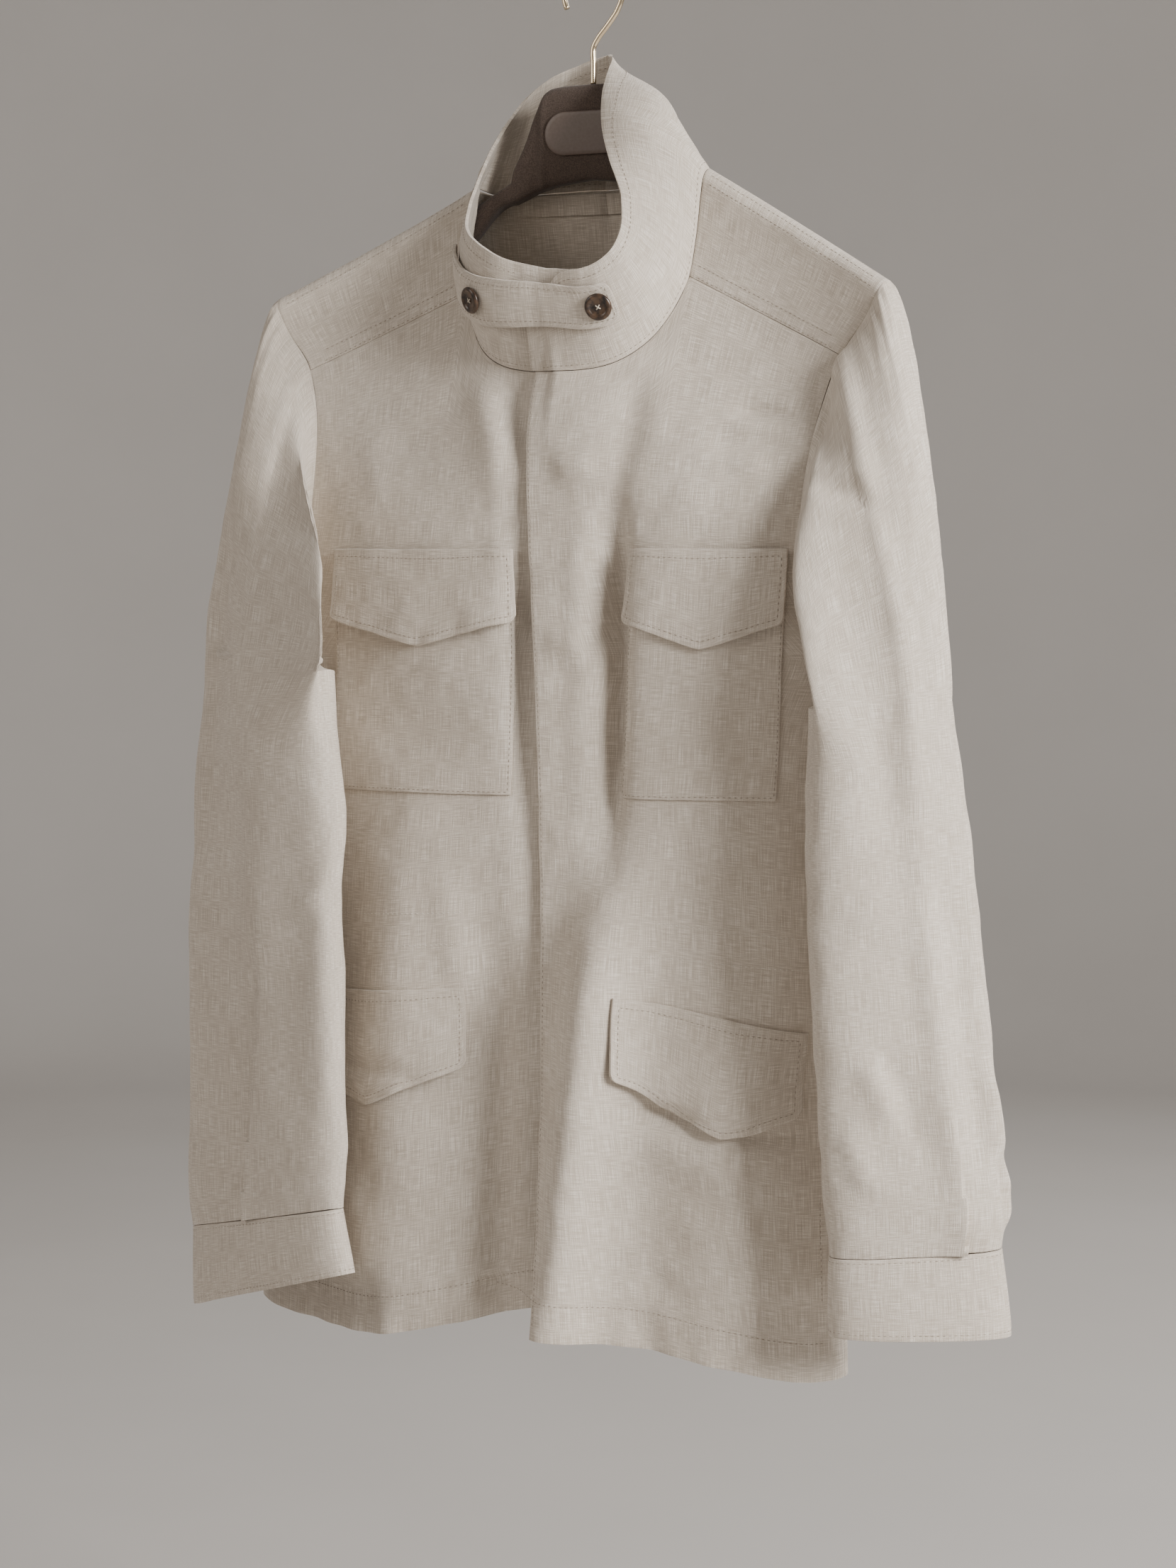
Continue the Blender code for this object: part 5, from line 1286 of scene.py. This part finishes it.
def stitch_row(store, place, a, b):
    """Adds a row of stitches along the values a and b of a surface; place also takes a height."""
    a = np.linspace(*a, LINE_POINTS) if len(a) == 2 else np.asarray(a)
    b = np.linspace(*b, LINE_POINTS) if len(b) == 2 else np.asarray(b)
    base = place(a, b, np.full_like(a, STITCH_BASE))
    raised = place(a, b, np.full_like(a, STITCH_PROBE))
    length = running_length(base)
    count = max(int(length[-1] / STITCH_PITCH), 2)
    at = (np.arange(count) + 0.5) * length[-1] / count

    def along(points, shift=0.0):
        return np.stack([np.interp(at + shift, length, points[:, i]) for i in range(3)], -1)

    middle = along(base)
    up = unit(along(raised) - middle)
    ahead = unit(along(base, STITCH_STEP) - along(base, -STITCH_STEP))
    side = np.cross(up, ahead)
    ends = ahead * STITCH_LENGTH / 2.0
    wide = side * STITCH_WIDTH / 2.0
    store.append(np.stack([middle - ends, middle + wide, middle + ends, middle - wide,
                           middle + up * STITCH_HEIGHT], 1))


def stitch_mesh(name, store, material):
    spots = np.concatenate(store).reshape(-1, 3)
    starts = np.arange(len(spots) // 5)[:, None, None] * 5
    faces = starts + np.array([(0, 1, 4), (1, 2, 4), (2, 3, 4), (3, 0, 4)])[None]
    mesh = bpy.data.meshes.new(name)
    mesh.from_pydata(spots.tolist(), [], faces.reshape(-1, 3).tolist())
    mesh.materials.append(material)
    return own(add_object(name, mesh), "linen")


def add_button(name, place):
    """One button on the tab, with the crossed threads that hold it."""
    def spot(shift, out):
        return Vector(tab_point(np.array([place + shift]), np.array([0.5]), np.array([TAB_OUT + out]))[0])

    centre = spot(0.0, BUTTON_STAND)
    normal = (spot(0.0, BUTTON_STAND + BUTTON_LIFT) - centre).normalized()
    across = spot(BUTTON_STEP, 0.0) - spot(-BUTTON_STEP, 0.0)
    across = (across - normal * across.dot(normal)).normalized()
    turn = Matrix((across, normal.cross(across), normal)).transposed().to_4x4()
    profile = [(radius * BUTTON_RADIUS, height * BUTTON_THICK) for radius, height in BUTTON_SHAPE]
    middle = (0.0, 0.0, 0.5 * BUTTON_THICK)
    button = add_mesh(name + "_horn", lathe_grid(profile), finish["dark_horn"], True, middle)
    button.matrix_world = Matrix.Translation(centre) @ turn
    own(button, "horn", name)
    line = np.linspace(-THREAD_HALF, THREAD_HALF, THREAD_POINTS[0])
    height = THREAD_LEVEL * BUTTON_THICK + THREAD_RISE * (1.0 - (line / THREAD_HALF) ** 2)
    tube = tube_grid(np.stack([line, 0.0 * line, height], -1), THREAD_RADIUS, THREAD_POINTS[1])
    for k, angle in enumerate((math.pi / 4, -math.pi / 4)):
        points = tube @ np.array(Matrix.Rotation(angle, 3, "Z")).T
        thread = add_mesh(f"{name}_thread_{k}", points, finish["button_thread"], True)
        thread.matrix_world = Matrix.Translation(centre) @ turn
        own(thread, "linen")


linen = linen_material("linen_weave")
finish = {name: speckled_material(name, *row) for name, row in FINISHES.items()}

# Cloth pieces
cloth("back", back_grid(), BACK_INSIDE)
cloth("collar", collar_grid(), NECK_INSIDE, DOUBLE_CLOTH, edge=DOUBLE_EDGE)
cloth("throat_tab", tab_grid(), NECK_INSIDE, DOUBLE_CLOTH, edge=DOUBLE_EDGE)
for side, sign in SIGN.items():
    cloth("front_" + side, front_grid(side), FRONT_INSIDE)
    cloth("yoke_" + side, yoke_grid(side), (sign * YOKE_INSIDE[0], *YOKE_INSIDE[1:]))
    for node, grid, thick in (("sleeve_", sleeve_grid, CLOTH), ("cuff_", cuff_grid, DOUBLE_CLOTH)):
        points = grid(side)
        cloth(node + side, points, points.reshape(-1, 3).mean(0), thick, closed=True)
    cloth("chest_pocket_" + side, pocket_point(side, *unit_grid(*POCKET_GRID)), FRONT_INSIDE)
    for node, span, flap, out in flaps_of(side):
        points = flap_point(side, span, flap, out, *unit_grid(*FLAP_GRID))
        cloth(node, points, FRONT_INSIDE, DOUBLE_CLOTH, edge=DOUBLE_EDGE)
across, down = unit_grid(*TAPE_GRID)
tape_x = mix(-TAPE_HALF, TAPE_HALF, across)
tape_z = mix(TAPE_TOP, TAPE_BOTTOM, down)
cloth("neck_tape", body_point("back", tape_x, tape_z, -LAYER - CLOTH), TAPE_INSIDE)

# Stitches
seam_rows = []
waist_rows = []
for panel, hem in HEM_LINE.items():
    on_panel = partial(body_point, panel)
    for (x0, z0), (x1, z1) in WAIST_ROWS[panel]:
        stitch_row(waist_rows, on_panel, (x0, x1), (z0, z1))
    x = np.linspace(max(hem["x"][0], HEM_STITCH_X[0]), min(hem["x"][-1], HEM_STITCH_X[1]), LINE_POINTS)
    stitch_row(seam_rows, on_panel, x, hem_z(panel, x) + HEM_STITCH)
on_left = partial(body_point, "left")
z = np.linspace(*PLACKET_STITCH_Z, LINE_POINTS)
stitch_row(seam_rows, on_left, edge_x(np.minimum(z, FIXED_TOP)) + PLACKET_STITCH_IN, z)
stitch_row(seam_rows, on_left, *SIDE_STITCH)
for side, sign in SIGN.items():
    on_front = partial(body_point, side)
    x = sign * np.linspace(*YOKE_STITCH_X, LINE_POINTS)
    for rise in YOKE_STITCH_RISES:
        stitch_row(seam_rows, on_front, x, yoke_seam_z(side, x) + rise)
    x = sign * np.linspace(*SHOULDER_STITCH_X, LINE_POINTS)
    for drop in SHOULDER_STITCH_DROPS:
        stitch_row(seam_rows, on_front, x, shoulder_z(x) - drop)
    on_pocket = partial(pocket_point, side)
    for edge in POCKET_STITCH:
        stitch_row(seam_rows, on_pocket, (edge, edge), POCKET_STITCH_DOWN)
    stitch_row(seam_rows, on_pocket, POCKET_STITCH, (POCKET_STITCH[1], POCKET_STITCH[1]))
    for _, span, flap, out in flaps_of(side):
        on_flap = partial(flap_point, side, span, flap, out)
        inset = FLAP_STITCH_SIDE / abs(span[1] - span[0])
        low = 1.0 - FLAP_STITCH_LOW / flap["height"]
        for down in (FLAP_STITCH_TOP, low):
            stitch_row(seam_rows, on_flap, (inset, 1.0 - inset), (down, down))
        for edge in (inset, 1.0 - inset):
            stitch_row(seam_rows, on_flap, (edge, edge), (FLAP_STITCH_TOP, low))
    for at in CUFF_STITCH_ROWS:
        stitch_row(seam_rows, partial(cuff_point, side), (0.0, 1.0), (at, at))
for start, end in COLLAR_STITCH_RUNS:
    for rise in COLLAR_STITCH_RISES:
        place = np.linspace(start, end, LINE_POINTS)
        cut = np.where((place < COLLAR_CORNER_SHARE) & (start > 0.0),
                       corner_rise(collar_point(place, 0.0 * place)[:, 0]), 1.0)
        stitch_row(seam_rows, collar_face, place, rise * cut)
for height in TAB_STITCH_HEIGHTS:
    stitch_row(seam_rows, tab_face, TAB_STITCH_ENDS, (height, height))
for place in TAB_STITCH_ENDS:
    stitch_row(seam_rows, tab_face, (place, place), TAB_STITCH_HEIGHTS)
# The seam stitches carry the painted shade of the needle holes in their thread's dark colour.
stitch_mesh("seam_stitches", seam_rows, finish["seam_thread_painted_shade"])
stitch_mesh("waist_stitches", waist_rows, finish["waist_thread"])

# Buttons and hanger
add_button("button_left", BUTTON_LEFT_SHARE)
add_button("button_right", -BUTTON_RIGHT_SHARE)
# The hanger's flock colour holds painted shade from the collar's shadow as well as its own brown.
hanger = add_mesh("hanger_flocked", hanger_grid(), finish["brown_flock_and_painted_shade"], True, HANGER_INSIDE)
own(hanger, "flock", "hanger_body")
plate = add_mesh("hanger_plate_blank", plate_grid(), finish["plate_brown"], True, PLATE_INSIDE)
own(plate, "plate", "hanger_plate")
hook = tube_grid(hook_route(), WIRE_RADIUS)
wire = add_mesh("hanger_hook_wire", hook, finish["pale_gold"], True, HOOK_INSIDE)
own(wire, "hook_metal", "hanger_hook")

# Stage, lights and camera
add_mesh("backdrop", room_grid(), finish["backdrop_paint"], True)
for name, (place, size, power, colour) in LIGHTS.items():
    lamp = bpy.data.lights.new(name, "AREA")
    lamp.size = size
    lamp.energy = power
    lamp.color = colour
    light = add_object(name, lamp)
    light.location = place
    light.rotation_euler = (LIGHT_AIM - Vector(place)).to_track_quat("-Z", "Y").to_euler()
world = bpy.data.worlds.new("studio")
world.use_nodes = True
world.node_tree.nodes["Background"].inputs["Color"].default_value = WORLD_COLOUR
world.node_tree.nodes["Background"].inputs["Strength"].default_value = WORLD_STRENGTH
bpy.context.scene.world = world
camera = add_object("camera", bpy.data.cameras.new("camera"))
camera.location = CAMERA_PLACE
camera.rotation_euler = (math.radians(CAMERA_TILT), 0.0, math.radians(CAMERA_TURN))
camera.data.sensor_fit = "VERTICAL"
camera.data.sensor_height = CAMERA_SENSOR
camera.data.sensor_width = CAMERA_SENSOR
camera.data.lens = CAMERA_LENS
bpy.context.scene.camera = camera
